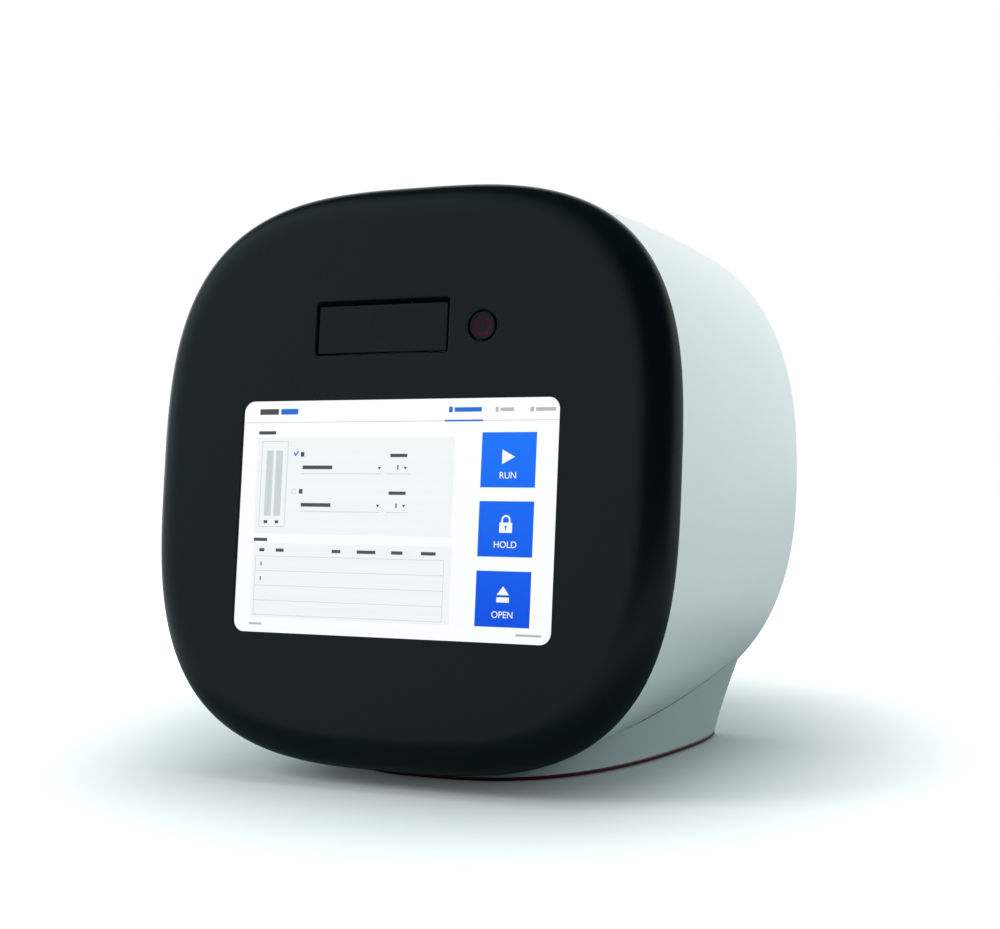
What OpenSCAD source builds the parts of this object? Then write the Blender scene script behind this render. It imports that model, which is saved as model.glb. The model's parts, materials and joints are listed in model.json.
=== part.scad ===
// Bench-top somatic cell counter: a leaning squircle front with a touch screen, a chip tray
// and a power button, a white body that tapers to the back, and a flared base.
// Lengths are millimetres and angles degrees. +X is right, +Y is back and +Z is up.
// The origin lies on the bench, under the middle of the outer box.

/* [Front] */
// Full width of the black front
front_w = 299; // [288:1:310]
// Full height of the black front
front_h = 299.2; // [290:0.2:310]
// Squareness of the front outline, where 2 is an ellipse
front_n = 3.1; // [2.8:0.1:3.6]
// Lean of the front face from upright
face_tilt = 5.4; // [4:0.1:7]
// Width of the rounded edge, seen from the front
edge_w = 18.5; // [15:0.5:21]
// Depth of the rounded edge
edge_d = 17; // [14:0.5:20]
// Wall of the front
fascia_wall = 3; // [2.6:0.1:4]
// Height of the front's lowest point over the bench
front_lift = 8.8; // [8:0.1:12]

/* [Display] */
// Width of the visible screen
screen_w = 183; // [160:1:190]
// Height of the visible screen
screen_h = 120; // [100:1:124]
// Corner radius of the visible screen
screen_r = 6; // [2:0.5:10]
// Screen centre below the centre of the front
screen_drop = 22.3; // [18:0.1:26]
// How far the cover glass runs under the front all round
glass_lap = 4; // [3:0.5:6]
// Thickness of the cover glass
glass_t = 1.8; // [1.2:0.1:2.2]
// Thickness of the display panel
lcd_t = 6; // [4:0.5:8]
// Thickness of the display bracket
bracket_t = 1.5; // [1:0.1:2.5]

/* [Tray] */
// Width of the tray opening in the front
slot_w = 77; // [74:0.5:84]
// Height of the tray opening in the front
slot_h = 27.7; // [26:0.1:32]
// Tray centre to the left of the middle
slot_left = 10.3; // [4:0.1:16]
// Tray centre above the centre of the front, along the face
slot_up = 74.9; // [72:0.1:80]
// Gap beside and under the tray door
door_gap = 0.6; // [0.4:0.1:1]
// Gap over the tray door
door_top_gap = 2.2; // [0.6:0.1:3]
// How far the tray door lies behind the face
door_inset = 0.8; // [0.5:0.1:2.5]
// Thickness of the tray door
door_t = 4.3; // [2.5:0.1:5]
// Width of the tray between its side tongues
tray_w = 58; // [52:1:60]
// Thickness of the tray
tray_t = 6; // [5:0.1:7]
// Length of the tray behind the chip pocket
tray_tail = 64; // [60:1:70]
// Width of the chip pocket
pocket_w = 26; // [25.5:0.5:28]
// Length of the chip pocket
pocket_l = 76; // [75.5:0.5:78]
// Depth of the chip pocket
pocket_d = 3; // [2:0.1:3.5]
// Bar between the tray door and the chip pocket
pocket_margin = 8; // [6:0.5:10]
// Travel of the tray, from shut to open
tray_travel = 92; // [60:1:92]
// Tooth size of the rack and pinion
gear_module = 1; // [0.8:0.1:1.1]
// Teeth on the drive pinion
pinion_teeth = 16; // [16:1:18]

/* [Power button] */
// Diameter of the hole for the button
button_hole_d = 16; // [14:0.5:18]
// Gap round the button cap
button_gap = 0.8; // [0.3:0.1:1.2]
// Button centre to the right of the middle
button_right = 47.5; // [46:0.5:56]
// Button centre above the centre of the front, along the face
button_up = 73.8; // [68:0.1:80]
// Travel of the button
button_travel = 1.5; // [0.8:0.1:2]

/* [Body] */
// Depth from the centre of the front to the back edge
body_depth = 263.5; // [260:0.5:280]
// Full width of the body at the back
rear_w = 253; // [250:1:264]
// How much lower the body is at the back than the front is
rear_less = 11.6; // [9:0.2:19]
// Squareness of the back outline, where 2 is an ellipse
rear_n = 2.45; // [2.4:0.05:3]
// Height of the body's lowest point at the back over the bench
rear_lift = 16.8; // [15:0.1:18.5]
// How far the sides swell between front and back
body_swell = 1.5; // [0:0.1:3]
// Step from the black front in to the white body
seam_step = 0.7; // [0.2:0.1:1.5]
// Wall of the body
shell_wall = 3; // [2.5:0.1:4]
// Radius of the rounded back edge
rim_r = 4; // [2:0.5:5]

/* [Rear panel] */
// Thickness of the rear panel
panel_t = 3; // [2:0.1:4]
// How far the panel lies inside the back edge
panel_inset = 4.5; // [4.5:0.1:7]
// Width of the lip that the panel sits on
lip_w = 6; // [5.5:0.1:8]
// Depth of that lip
lip_t = 4; // [3:0.1:5]
// Size of the square fan
fan_size = 60; // [50:1:64]
// Depth of the fan
fan_t = 15; // [13:1:20]

/* [Base] */
// Full width of the base on the bench
base_w = 164.6; // [156:0.2:172]
// Front of the base behind the centre of the front
base_front = 39; // [34:0.5:46]
// Where the base is widest, behind the centre of the front
base_waist = 203; // [190:1:215]
// Squareness of the front of the base, where 2 is an ellipse
base_n = 2.75; // [2.3:0.05:3.2]
// How far the base flares out at the height of flare_z
base_flare = 16; // [10:0.5:18]
// Height at which the flare is measured
flare_z = 46; // [40:1:52]
// Thickness of the dark red trim plate
trim_t = 1.8; // [1.4:0.1:3]
// How far the feet stand below the trim plate
foot_proud = 0.6; // [0.4:0.1:1.2]
// Diameter of a foot
foot_d = 16; // [12:1:20]

/* [Chassis] */
// Height of the underside of the chassis plate
chassis_z = 44; // [42:0.5:48]
// Thickness of the chassis plate
chassis_t = 2; // [1.5:0.1:3]
// Full width of the chassis plate
chassis_w = 144; // [140:1:150]
// Diameter of the four posts in the body
post_d = 10; // [9:0.5:12]
// Distance of the posts from the middle
post_x = 46; // [40:1:50]
// Diameter of the frame screws
screw_d = 4; // [3:0.1:4.5]

/* [Optics] */
// Where on the chip the camera looks, from the front of the pocket
image_at = 54; // [52:0.5:58]
// Distance of each frame plate from the optical axis
frame_half = 40; // [38.5:0.1:42]
// Thickness of the frame plates and shelves
frame_t = 3; // [2:0.1:4]
// Diameter of the objective
objective_d = 24; // [18:0.5:26]
// Diameter of the lens tube
tube_d = 30; // [26.5:0.5:32]
// Width of the camera
camera_w = 40; // [36:1:46]
// Focus travel each way
focus_travel = 1.5; // [0.5:0.1:2]
// Diameter of the guide rods
rod_d = 6; // [5:0.1:7]

/* [Electronics] */
// Width of the main board
board_w = 130; // [124:1:134]
// Length of the main board
board_l = 90; // [84:1:94]
// Height of the board standoffs
standoff_h = 6; // [5:0.5:8]
// Thickness of the circuit boards
pcb_t = 1.6; // [1:0.1:2]

/* [Fits] */
// Gap between sliding pieces
slide_gap = 0.3; // [0.25:0.05:0.4]
// Gap round pieces that drop into place
seat_gap = 0.2; // [0.1:0.05:0.3]
// Gap round a turning shaft
shaft_gap = 0.05; // [0.03:0.01:0.1]

/* [Hidden] */
$fn = 48;

// Outer form
ring_points = 72;
edge_angles = [0, 16, 33, 51, 70, 90];
rim_angles = [30, 60, 90];
body_steps = [0, 0.25, 0.5, 0.75];
flat_w = front_w / 2 - edge_w;
flat_h = front_h / 2 - edge_w;
face_z = front_lift + front_h / 2 * cos(face_tilt) + edge_d * sin(face_tilt);
front_reach = max([for (a = edge_angles)
    (flat_h + edge_w * sin(a)) * sin(face_tilt) - edge_d * (1 - cos(a)) * cos(face_tilt)]);
face_y = (front_reach - body_depth) / 2;
rear_y = face_y + body_depth;
rear_h = front_h - rear_less;
rear_z = rear_lift + rear_h / 2;
seam_y = face_y + edge_d * cos(face_tilt);
seam_z = face_z - edge_d * sin(face_tilt);
loft_end = rear_y - rim_r;
cut = 1;

// Rear panel
panel_out = rear_y - panel_inset;
panel_in = panel_out - panel_t;
lip_y = panel_in - lip_t;
rim_flat = 2;
recess_w = rear_w / 2 - rim_r - rim_flat;
recess_h = rear_h / 2 - rim_r - rim_flat;
panel_screw_d = 2.5;
panel_head_d = 4.6;
panel_head_h = 1.6;
panel_screw_angles = [30, 90, 150, 210, 270, 330];

// Base
base_z = foot_proud + trim_t;
base_top = 64;
flare_power = 1.15;
base_shares = [0, 0.15, 0.32, 0.59, 0.78, 1];
base_back_half = 138;
base_arc_steps = 14;
base_back_steps = 3;
foot_x = 48;
foot_ahead = 48;
foot_behind = 24;
foot_front = base_front + foot_ahead;
foot_back = body_depth - foot_behind;
post_front = 95;
post_back = 215;
head_d = 7.5;
head_h = 3;
head_gap = 0.5;
head_deep = 1;
base_screw_l = 22;
chassis_screw_l = 10;
chassis_front = 45;
chassis_behind = 21;

// Display stack, as depths behind the face
glass_front = fascia_wall - glass_t;
lcd_back = fascia_wall + lcd_t;
bracket_back = lcd_back + bracket_t;
display_screw_d = 3;
display_screw_l = 4;
display_head_d = 5.5;
display_head_h = 2;
display_boss_d = 7;
lcd_border = 7;
bracket_edge = 1;
bracket_tab = 12;
boss_x = screen_w / 2 + lcd_border + display_boss_d / 2 + bracket_edge;
boss_v = 42;
board_gap = 5;
display_pcb_w = 120;
display_pcb_h = 80;
spacer_d = 5;
spacer_x = 20;
spacer_v = 36;
display_chip_t = 2.5;
// Parts on the display board as shares of its size: centre, then size
display_chips = [[0, 0, 0.18, 0.28], [-0.32, 0.22, 0.15, 0.1], [0.3, -0.25, 0.07, 0.3]];

// Tray, with its heights over the bench
door_back = door_inset + door_t;
slot_r = 1.5;
tray_drop = 2;
slot_z = face_z + slot_up * cos(face_tilt);
slot_high = slot_h * cos(face_tilt);
axis_x = -slot_left;
tray_z = slot_z - tray_t / 2 - tray_drop;
tray_mid = tray_z + tray_t / 2;
tray_y = face_y + (tray_mid - face_z) * tan(face_tilt) + door_back / cos(face_tilt);
tray_end = tray_y + pocket_margin + pocket_l + tray_tail;
pocket_y = tray_y + pocket_margin;
axis_y = pocket_y + image_at;
tray_extra = 4;
tongue_w = 3;
tongue_t = 3;
tongue_start = 28;
flag_w = 6;
flag_l = 6;
flag_t = 1;
ledge_side = 3;
ledge_end = 5;
notch_at = 14;
notch_d = 16;
rack_h = 6;
rack_z = tray_z - rack_h;
rack_gap = 1.5;
stage_t = 3;
stage_side = 4;
stage_ahead = 8;
stage_behind = 12;
stage_z = rack_z - rack_gap - stage_t;
stage_top = stage_z + stage_t;
stage_half = frame_half + stage_side;
stage_front = tray_y + stage_ahead;
stage_end = tray_end + stage_behind;
stage_bore = objective_d + 4;
rail_play = 0.5;
rail_groove = tongue_w + rail_play;
rail_x = tray_w / 2 + rail_play;
rail_wall = 3;
rail_roof = 2;
sensor_w = 12;
sensor_l = 7;
sensor_slot = 8;
sensor_base = 2;
sensor_rise = 5;

// Rack and pinion
pressure = 20;
pinion_r = gear_module * pinion_teeth / 2;
backlash = 0.12;
addendum = 0.9 * gear_module;
dedendum = 1.25 * gear_module;
pinion_right = 14.5;
pinion_behind = 33;
pinion_h = 5;
pinion_x = axis_x + pinion_right;
pinion_y = tray_y + pinion_behind;
pinion_z = rack_z + (rack_h - pinion_h) / 2;
shaft_d = 4;
rack_x = pinion_x + pinion_r;
rack_back = 4;
rack_spare = 16;
rack_teeth = floor((tray_travel + rack_spare) / (PI * gear_module));
motor_d = 20;
motor_l = 40;
gearbox_d = 24;
gearbox_l = 12;
shaft_grip = 15;
shaft_bore_end = 0.5;
shaft_hole_d = shaft_d + 2;

// Optics, with heights over the bench that follow the chip
objective_l = 34;
objective_drop = 18;
objective_hang = 6;
objective_cone = 8;
objective_tip_d = 0.58 * objective_d;
objective_z = tray_z - objective_drop - objective_l;
carriage_t = 10;
carriage_wall = 5;
carriage_rise = 30;
carriage_z = objective_z + objective_hang;
tube_room = 52;
focus_shelf_z = carriage_z - carriage_rise - frame_t;
camera_shelf_z = focus_shelf_z - tube_room;
frame_z = chassis_z + chassis_t;
frame_ahead = 36;
frame_front = axis_y - frame_ahead;
frame_l = 112;
window_d = 34;
window_behind = 20;
shelf_ahead = 30;
shelf_l = 84;
shelf_front = axis_y - shelf_ahead;
camera_h = 34;
nose_d = 25;
nose_h = 9;
tube_wall = 3;
tube_bore = tube_d + 4;
filter_d = 25;
filter_t = 3;
filter_lap = 2;
filter_floor = 2;
holder_d = 40;
holder_h = 8;
rod_side = 15;
rod_back = 30;
focus_can = 20;
focus_can_h = 20;
focus_can_floor = 4;
plunger_d = 4;
plunger_room = 1;
bridge_rise = 16;
bridge_z = tray_z + tray_t + bridge_rise;
bridge_w = 44;
light_d = 20;
light_lap = 1;
barrel_d = 26;
barrel_l = 10;
lens_deep = 7;
lens_t = 4;
led_pcb_d = 36;
led_t = 2;
led_d = 8;
led_h = 2;
sink_w = 40;
sink_base = 4;
sink_h = 28;
fin_count = 8;
fin_t = 1.6;
fin_pitch = (sink_w - fin_t) / (fin_count - 1);

// Power button, as depths behind the face
cap_d = button_hole_d - 2 * button_gap;
cap_lap = 1;
cap_flange_d = button_hole_d + 2 * cap_lap;
cap_flange_t = 1.7;
cap_flange = fascia_wall + slide_gap;
cap_back = cap_flange + cap_flange_t;
stem_d = 6;
stem_l = 6;
stem_back = cap_back + stem_l;
tact_w = 6.2;
tact_h = 3;
housing_wall = 1.5;
housing_floor_t = 2;
skirt_wall = 2;
housing_bore_d = cap_flange_d + 2 * slide_gap;
housing_d = housing_bore_d + 2 * housing_wall;
housing_floor = cap_back + button_travel + slide_gap;
housing_back = housing_floor + housing_floor_t;
button_pcb_front = stem_back + button_travel + slide_gap + tact_h;

// Rear fittings
board_space = 4;
board_y = panel_in - board_space - board_l;
board_z = frame_z + standoff_h;
board_top = board_z + pcb_t;
standoff_d = 6;
standoff_edge = 5;
// Parts on the main board: centre and size as shares of its size, then height
board_chips = [[-0.08, 0.36, 0.24, 0.34, 8], [0.28, 0.28, 0.14, 0.26, 3], [-0.35, 0.34, 0.08, 0.44, 9]];
port_gap = 0.4;
port_deep = 11;
usb_x = 18;
usb_w = 13.2;
usb_h = 15.6;
usb_l = 19;
usb_wall = 0.5;
usb_mouth_z = 1.3;
usb_mouth_h = 5.2;
usb_pitch = 7.6;
usb_tongue_z = 2.9;
usb_tongue_t = 1.8;
net_x = 44;
net_w = 16;
net_h = 13.5;
net_l = 21;
net_mouth_w = 11.8;
net_mouth_h = 7.8;
net_mouth_z = 2.4;
net_clip_w = 6;
net_clip_z = 1;
jack_x = -28;
jack_rise = 12;
jack_z = board_top + jack_rise;
jack_d = 11;
jack_bore_d = 6.4;
jack_pin_d = 2.1;
jack_deep = 10;
jack_floor = 2;
jack_rim = 1.5;
jack_rim_t = 1;
rocker_x = -56;
rocker_rise = 24;
rocker_z = board_top + rocker_rise;
rocker_w = 10.4;
rocker_h = 16;
rocker_lean = 10;
rocker_top = 3;
rocker_valley = 2.2;
rocker_under = 2.4;
rocker_draft = 1;
rocker_pin_d = 2;
rocker_sink = 1.6;
rocker_side_gap = 0.3;
rocker_end_gap = 0.8;
switch_wall = 0.9;
switch_w = rocker_w + 2 * rocker_side_gap + 2 * switch_wall;
switch_h = rocker_h + 2 * rocker_end_gap + 2 * switch_wall;
switch_depth = 16;
switch_cavity = 9;
bezel = 1.2;
bezel_t = 1;
rocker_y = panel_out - rocker_sink;
fan_x = 46;
fan_rise = 48;
fan_z = rear_z + fan_rise;
fan_wall = 2;
fan_corner = 4;
fan_bore = fan_size - 2 * fan_wall;
fan_hub_d = 22;
fan_blades = 7;
fan_blade_t = 1.2;
fan_blade_w = 12;
fan_blade_pitch = 35;
fan_blade_gap = 1.6;
fan_blade_root = 1;
fan_rotor_gap = 1.2;
fan_screw_d = 3.5;
fan_screw_edge = 5;
fan_screw_l = 8;
fan_head_d = 6.5;
fan_head_h = 2;
fan_pitch = fan_size - 2 * fan_screw_edge;
fan_shaft_d = 3;
spider_t = 3;
spider_w = 4;
grille_edge = 1;
vent_h = 3.2;
vent_pitch = 6.4;
vent_rows = 7;
vent_w = 56;
vent_x = -46;

// Values between a and b, at the share s
function mix(a, b, s) = a + (b - a) * s;

// One point of a superellipse with half sizes w and h
function ring_point(w, h, n, a) =
    let (r = pow(pow(abs(cos(a)), n) + pow(abs(sin(a)), n), -1 / n))
    [w * r * cos(a), h * r * sin(a)];

// A whole superellipse, anticlockwise
function ring(w, h, n) =
    [for (i = [0 : ring_points - 1]) ring_point(w, h, n, 360 * i / ring_points)];

// Puts a flat ring on a plane that leans back by t about the point (0, y, z)
function lean(points, y, z, t) =
    [for (p = points) [p[0], y + p[1] * sin(t), z + p[1] * cos(t)]];

// A ring on the front, with half sizes w and h, at a depth behind the face
function face_ring(w, h, depth) =
    lean(ring(w, h, front_n), face_y + depth * cos(face_tilt), face_z - depth * sin(face_tilt), face_tilt);

// A ring of the body at the share s from the seam to the back, set in from the outside
function body_ring(s, inset) =
    let (swell = 4 * body_swell * s * (1 - s) - inset)
    lean(ring(mix(front_w / 2 - seam_step, rear_w / 2, s) + swell,
              mix(front_h / 2 - seam_step, rear_h / 2, s) + swell,
              mix(front_n, rear_n, s)),
         mix(seam_y, loft_end, s), mix(seam_z, rear_z, s), face_tilt * (1 - s));

function moved(points, y) = [for (p = points) [p[0], p[1] + y, p[2]]];

// Faces of a skin over m rings of n points, with a cap on each end
function skin_faces(n, m) = concat(
    [[for (i = [n - 1 : -1 : 0]) i]],
    [for (j = [0 : m - 2], i = [0 : n - 1])
        let (k = (i + 1) % n)
        each [[j * n + i, j * n + k, (j + 1) * n + k], [j * n + i, (j + 1) * n + k, (j + 1) * n + i]]],
    [[for (i = [0 : n - 1]) (m - 1) * n + i]]);

module skin(rings)
    polyhedron([for (r = rings) each r], skin_faces(len(rings[0]), len(rings)), convexity = 4);

// Draws in the plane of the face: x right, y up the face, z out of it
module on_face(x = 0, up = 0, depth = 0)
    translate([0, face_y, face_z]) rotate([90 - face_tilt, 0, 0]) translate([x, up, -depth]) children();

// A solid of the face plane that starts at one depth and ends at a deeper one
module face_slab(x, up, front, back) on_face(x, up, back) linear_extrude(back - front) children();

// Draws in a plane that faces the back, extruded from y0 to y1
module rear_slab(x, z, y0, y1) translate([x, y1, z]) rotate([90, 0, 0]) linear_extrude(y1 - y0) children();

module rounded(w, h, r) {
    square([w - 2 * r, h], center = true);
    square([w, h - 2 * r], center = true);
    for (x = [-1, 1], y = [-1, 1]) translate([x * (w / 2 - r), y * (h / 2 - r)]) circle(r);
}

module centred_box(x, y, z, size) translate([x - size[0] / 2, y - size[1] / 2, z]) cube(size);

module upright(x, y, z, d, h) translate([x, y, z]) cylinder(d = d, h = h);

// The front's form, set in from the outside and run on past the seam
module fascia_form(inset, extra) skin([for (a = edge_angles) face_ring(
    flat_w + (edge_w - inset) * sin(a), flat_h + (edge_w - inset) * sin(a),
    inset + (edge_d + extra - inset) * (1 - cos(a)))]);

module display_spots() for (x = [-1, 1], y = [-1, 1]) translate([x * boss_x, y * boss_v]) children();

// The level shaft through the front that the tray door slides in
module slot_prism(gap, top_gap)
    rear_slab(axis_x, slot_z + (gap - top_gap) / 2, face_y - slot_h, face_y + 2 * slot_h)
        rounded(slot_w - 2 * gap, slot_high - gap - top_gap, slot_r);

module front_fascia() color("#20282c") difference() {
    fascia_form(0, 0);
    difference() {
        fascia_form(fascia_wall, cut);
        face_slab(0, -screen_drop, 0, lcd_back) display_spots() circle(d = display_boss_d);
    }
    face_slab(0, -screen_drop, -cut, glass_front + cut) rounded(screen_w, screen_h, screen_r);
    face_slab(0, -screen_drop, glass_front, fascia_wall + cut) glass_outline(seat_gap);
    face_slab(0, -screen_drop, glass_front + cut, lcd_back + cut)
        display_spots() circle(d = display_screw_d + seat_gap);
    face_slab(button_right, button_up, -cut, fascia_wall + cut) circle(d = button_hole_d);
    slot_prism(0, 0);
}

module glass_outline(gap)
    rounded(screen_w + 2 * (glass_lap + gap), screen_h + 2 * (glass_lap + gap), screen_r);

module touch_glass() color("#dfe6ea")
    face_slab(0, -screen_drop, glass_front, fascia_wall) glass_outline(0);

module lcd_panel() color("#30363a")
    face_slab(0, -screen_drop, fascia_wall, lcd_back)
        square([screen_w + 2 * lcd_border, screen_h + 2 * lcd_border], center = true);

module display_bracket() color("#b8bdc0") face_slab(0, -screen_drop, lcd_back, bracket_back) difference() {
    union() {
        square([screen_w + 2 * lcd_border, screen_h + 2 * lcd_border], center = true);
        for (y = [-1, 1]) translate([0, y * boss_v])
            square([2 * (boss_x + bracket_edge) + display_boss_d, bracket_tab], center = true);
    }
    display_spots() circle(d = display_screw_d + 2 * seat_gap);
    for (x = [-1, 1]) translate([x * screen_w / 3, 0]) square([screen_w / 6, screen_h * 0.7], center = true);
}

module display_screws() color("#8d9296") {
    face_slab(0, -screen_drop, lcd_back - display_screw_l, bracket_back)
        display_spots() circle(d = display_screw_d);
    face_slab(0, -screen_drop, bracket_back, bracket_back + display_head_h)
        display_spots() circle(d = display_head_d);
}

module display_board() color("#1d5c3a") {
    board_front = bracket_back + board_gap;
    face_slab(0, -screen_drop, bracket_back, board_front)
        for (x = [-1, 1], y = [-1, 1])
            translate([x * spacer_x, y * spacer_v]) circle(d = spacer_d);
    face_slab(0, -screen_drop, board_front, board_front + pcb_t)
        square([display_pcb_w, display_pcb_h], center = true);
    face_slab(0, -screen_drop, board_front + pcb_t, board_front + pcb_t + display_chip_t)
        for (c = display_chips) translate([c[0] * display_pcb_w, c[1] * display_pcb_h])
            square([c[2] * display_pcb_w, c[3] * display_pcb_h], center = true);
}

module power_button() color("#171d20") {
    face_slab(button_right, button_up, 0, cap_flange) circle(d = cap_d);
    face_slab(button_right, button_up, cap_flange, cap_back) circle(d = cap_flange_d);
    face_slab(button_right, button_up, cap_back, stem_back) circle(d = stem_d);
}

module button_housing() color("#2b3033") {
    face_slab(button_right, button_up, fascia_wall, housing_floor) difference() {
        circle(d = housing_d);
        circle(d = housing_bore_d);
    }
    face_slab(button_right, button_up, housing_floor, housing_back) difference() {
        circle(d = housing_d);
        circle(d = stem_d + 2 * slide_gap);
    }
    face_slab(button_right, button_up, housing_back, button_pcb_front) difference() {
        circle(d = housing_d);
        circle(d = housing_d - 2 * skirt_wall);
    }
}

module button_board() color("#1d5c3a") {
    face_slab(button_right, button_up, button_pcb_front, button_pcb_front + pcb_t) circle(d = housing_d);
    face_slab(button_right, button_up, button_pcb_front - tact_h, button_pcb_front)
        square(tact_w, center = true);
}

module body_form() skin(concat(
    [for (s = body_steps) body_ring(s, 0)],
    [body_ring(1, 0)],
    [for (a = rim_angles) moved(body_ring(1, rim_r * (1 - cos(a))), rim_r * sin(a))]));

// The outside of the body without its rounded back edge, run on past the back
module body_cutter() skin(concat(
    [for (s = body_steps) body_ring(s, 0)],
    [body_ring(1, 0), moved(body_ring(1, 0), rim_r + cut)]));

// The inside of the body, run on past the seam and ended at the lip
module body_hollow() {
    body_l = loft_end - seam_y;
    middle = [for (s = body_steps) if (s > 0) s];
    inner_steps = concat([-2 * cut / body_l], middle, [(lip_y - seam_y) / body_l]);
    skin([for (s = inner_steps) body_ring(s, shell_wall)]);
}

module post_spots() for (x = [-post_x, post_x], y = [post_front, post_back])
    translate([x, face_y + y, 0]) children();

module lip_spots() for (a = panel_screw_angles)
    translate(ring_point(recess_w - lip_w / 2, recess_h - lip_w / 2, rear_n, a)) children();

module body_shell() color("#e9eef0") difference() {
    body_form();
    difference() {
        body_hollow();
        post_spots() cylinder(d = post_d, h = chassis_z);
    }
    post_spots() translate([0, 0, -cut]) cylinder(d = screw_d + seat_gap, h = chassis_z + 2 * cut);
    rear_slab(0, rear_z, lip_y - cut, rear_y + cut)
        polygon(ring(recess_w - lip_w, recess_h - lip_w, rear_n));
    rear_slab(0, rear_z, panel_in, rear_y + cut) polygon(ring(recess_w, recess_h, rear_n));
    rear_slab(0, rear_z, lip_y - cut, rear_y) lip_spots() circle(d = panel_screw_d + seat_gap);
}

module fan_grille() {
    rows = floor(fan_bore / 2 / vent_pitch - 0.2);
    for (i = [-rows : rows])
        translate([0, i * vent_pitch])
            square([2 * sqrt(pow(fan_bore / 2 - grille_edge, 2) - pow(i * vent_pitch, 2)), vent_h],
                   center = true);
}

module fan_spots() for (x = [-1, 1], z = [-1, 1])
    translate([x * fan_pitch / 2, z * fan_pitch / 2]) children();

module rear_panel() color("#cdd3d6") rear_slab(0, 0, panel_in, panel_out) difference() {
    translate([0, rear_z]) polygon(ring(recess_w - seat_gap, recess_h - seat_gap, rear_n));
    translate([0, rear_z]) lip_spots() circle(d = panel_screw_d + seat_gap);
    translate([fan_x, fan_z]) {
        fan_grille();
        fan_spots() circle(d = fan_screw_d + seat_gap);
    }
    for (i = [0 : vent_rows - 1]) translate([vent_x, fan_z + (i - (vent_rows - 1) / 2) * vent_pitch])
        square([vent_w, vent_h], center = true);
    translate([usb_x, board_top + usb_h / 2])
        square([usb_w + 2 * port_gap, usb_h + 2 * port_gap], center = true);
    translate([net_x, board_top + net_h / 2])
        square([net_w + 2 * port_gap, net_h + 2 * port_gap], center = true);
    translate([jack_x, jack_z]) circle(d = jack_d + seat_gap);
    translate([rocker_x, rocker_z]) square([switch_w + seat_gap, switch_h + seat_gap], center = true);
}

module rear_panel_screws() color("#8d9296") {
    rear_slab(0, rear_z, lip_y, panel_out) lip_spots() circle(d = panel_screw_d);
    rear_slab(0, rear_z, panel_out, panel_out + panel_head_h) lip_spots() circle(d = panel_head_d);
}

// Half of the base outline from the middle of the front to the back corner
function base_half(grow) = let (w = base_w / 2 + grow, reach = base_waist - base_front + grow) concat(
    [for (i = [0 : base_arc_steps])
        let (p = ring_point(w, reach, base_n, 90 - 90 * i / base_arc_steps)) [p[0], base_waist - p[1]]],
    [for (i = [1 : base_back_steps])
        let (y = (body_depth - base_waist) * i / base_back_steps)
        [w * sqrt(1 - pow(y / base_back_half, 2)), base_waist + y]]);

// The whole base outline, clockwise from above
function base_outline(grow) = let (half = base_half(grow), last = len(half) - 1) concat(
    [for (i = [last : -1 : 0]) [half[i][0], half[i][1] + face_y]],
    [for (i = [1 : last]) [-half[i][0], half[i][1] + face_y]]);

function base_grow(z) = base_flare * pow((z - base_z) / (flare_z - base_z), flare_power);

module base_pedestal() color("#aab3b5") difference() {
    skin([for (s = base_shares)
        let (z = mix(base_z, base_top, s)) [for (p = base_outline(base_grow(z))) [p[0], p[1], z]]]);
    body_cutter();
    post_spots() translate([0, 0, base_z - cut]) {
        cylinder(d = screw_d + 2 * seat_gap, h = base_top);
        cylinder(d = head_d + 2 * head_gap, h = head_h + head_deep + cut);
    }
}

module foot_spots() for (x = [-foot_x, foot_x], y = [foot_front, foot_back])
    translate([x, face_y + y, 0]) children();

module base_trim() color("#5c1024") difference() {
    translate([0, 0, foot_proud]) linear_extrude(trim_t) polygon(base_outline(0));
    foot_spots() translate([0, 0, -cut]) cylinder(d = foot_d + 2 * seat_gap, h = base_z + 2 * cut);
}

module rubber_feet() color("#1a1a1a") foot_spots() cylinder(d = foot_d, h = base_z);

module base_screws() color("#8d9296") post_spots() translate([0, 0, base_z + head_deep]) {
    cylinder(d = head_d, h = head_h);
    cylinder(d = screw_d, h = head_h + base_screw_l);
}

module chassis_plate() color("#b8bdc0") difference() {
    translate([-chassis_w / 2, face_y + chassis_front, chassis_z])
        cube([chassis_w, body_depth - chassis_front - chassis_behind, chassis_t]);
    post_spots() translate([0, 0, chassis_z - cut])
        cylinder(d = screw_d + 2 * seat_gap, h = chassis_t + 2 * cut);
}

module chassis_screws() color("#8d9296") post_spots() translate([0, 0, frame_z]) {
    cylinder(d = head_d, h = head_h);
    translate([0, 0, -chassis_screw_l]) cylinder(d = screw_d, h = chassis_screw_l + head_h);
}

module frame_plates() color("#9aa0a4") for (side = [-1, 1])
    difference() {
        translate([axis_x + side * (frame_half + frame_t / 2) - frame_t / 2, frame_front, frame_z])
            cube([frame_t, frame_l, stage_z - frame_z]);
        translate([axis_x + side * (frame_half + frame_t / 2), axis_y + window_behind,
                   (camera_shelf_z + frame_t + focus_shelf_z) / 2])
            rotate([0, 90, 0]) cylinder(d = window_d, h = frame_t + 2 * cut, center = true);
    }

module shelf(z, bore) difference() {
    translate([axis_x - frame_half, shelf_front, z]) cube([2 * frame_half, shelf_l, frame_t]);
    upright(axis_x, axis_y, z - cut, bore, frame_t + 2 * cut);
}

module camera_shelf() color("#9aa0a4") shelf(camera_shelf_z, nose_d + 2 * seat_gap);

module focus_shelf() color("#9aa0a4") shelf(focus_shelf_z, tube_bore);

module camera_module() color("#3a3f43") {
    centred_box(axis_x, axis_y, camera_shelf_z - camera_h, [camera_w, camera_w, camera_h]);
    upright(axis_x, axis_y, camera_shelf_z, nose_d, frame_t + nose_h);
}

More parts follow.
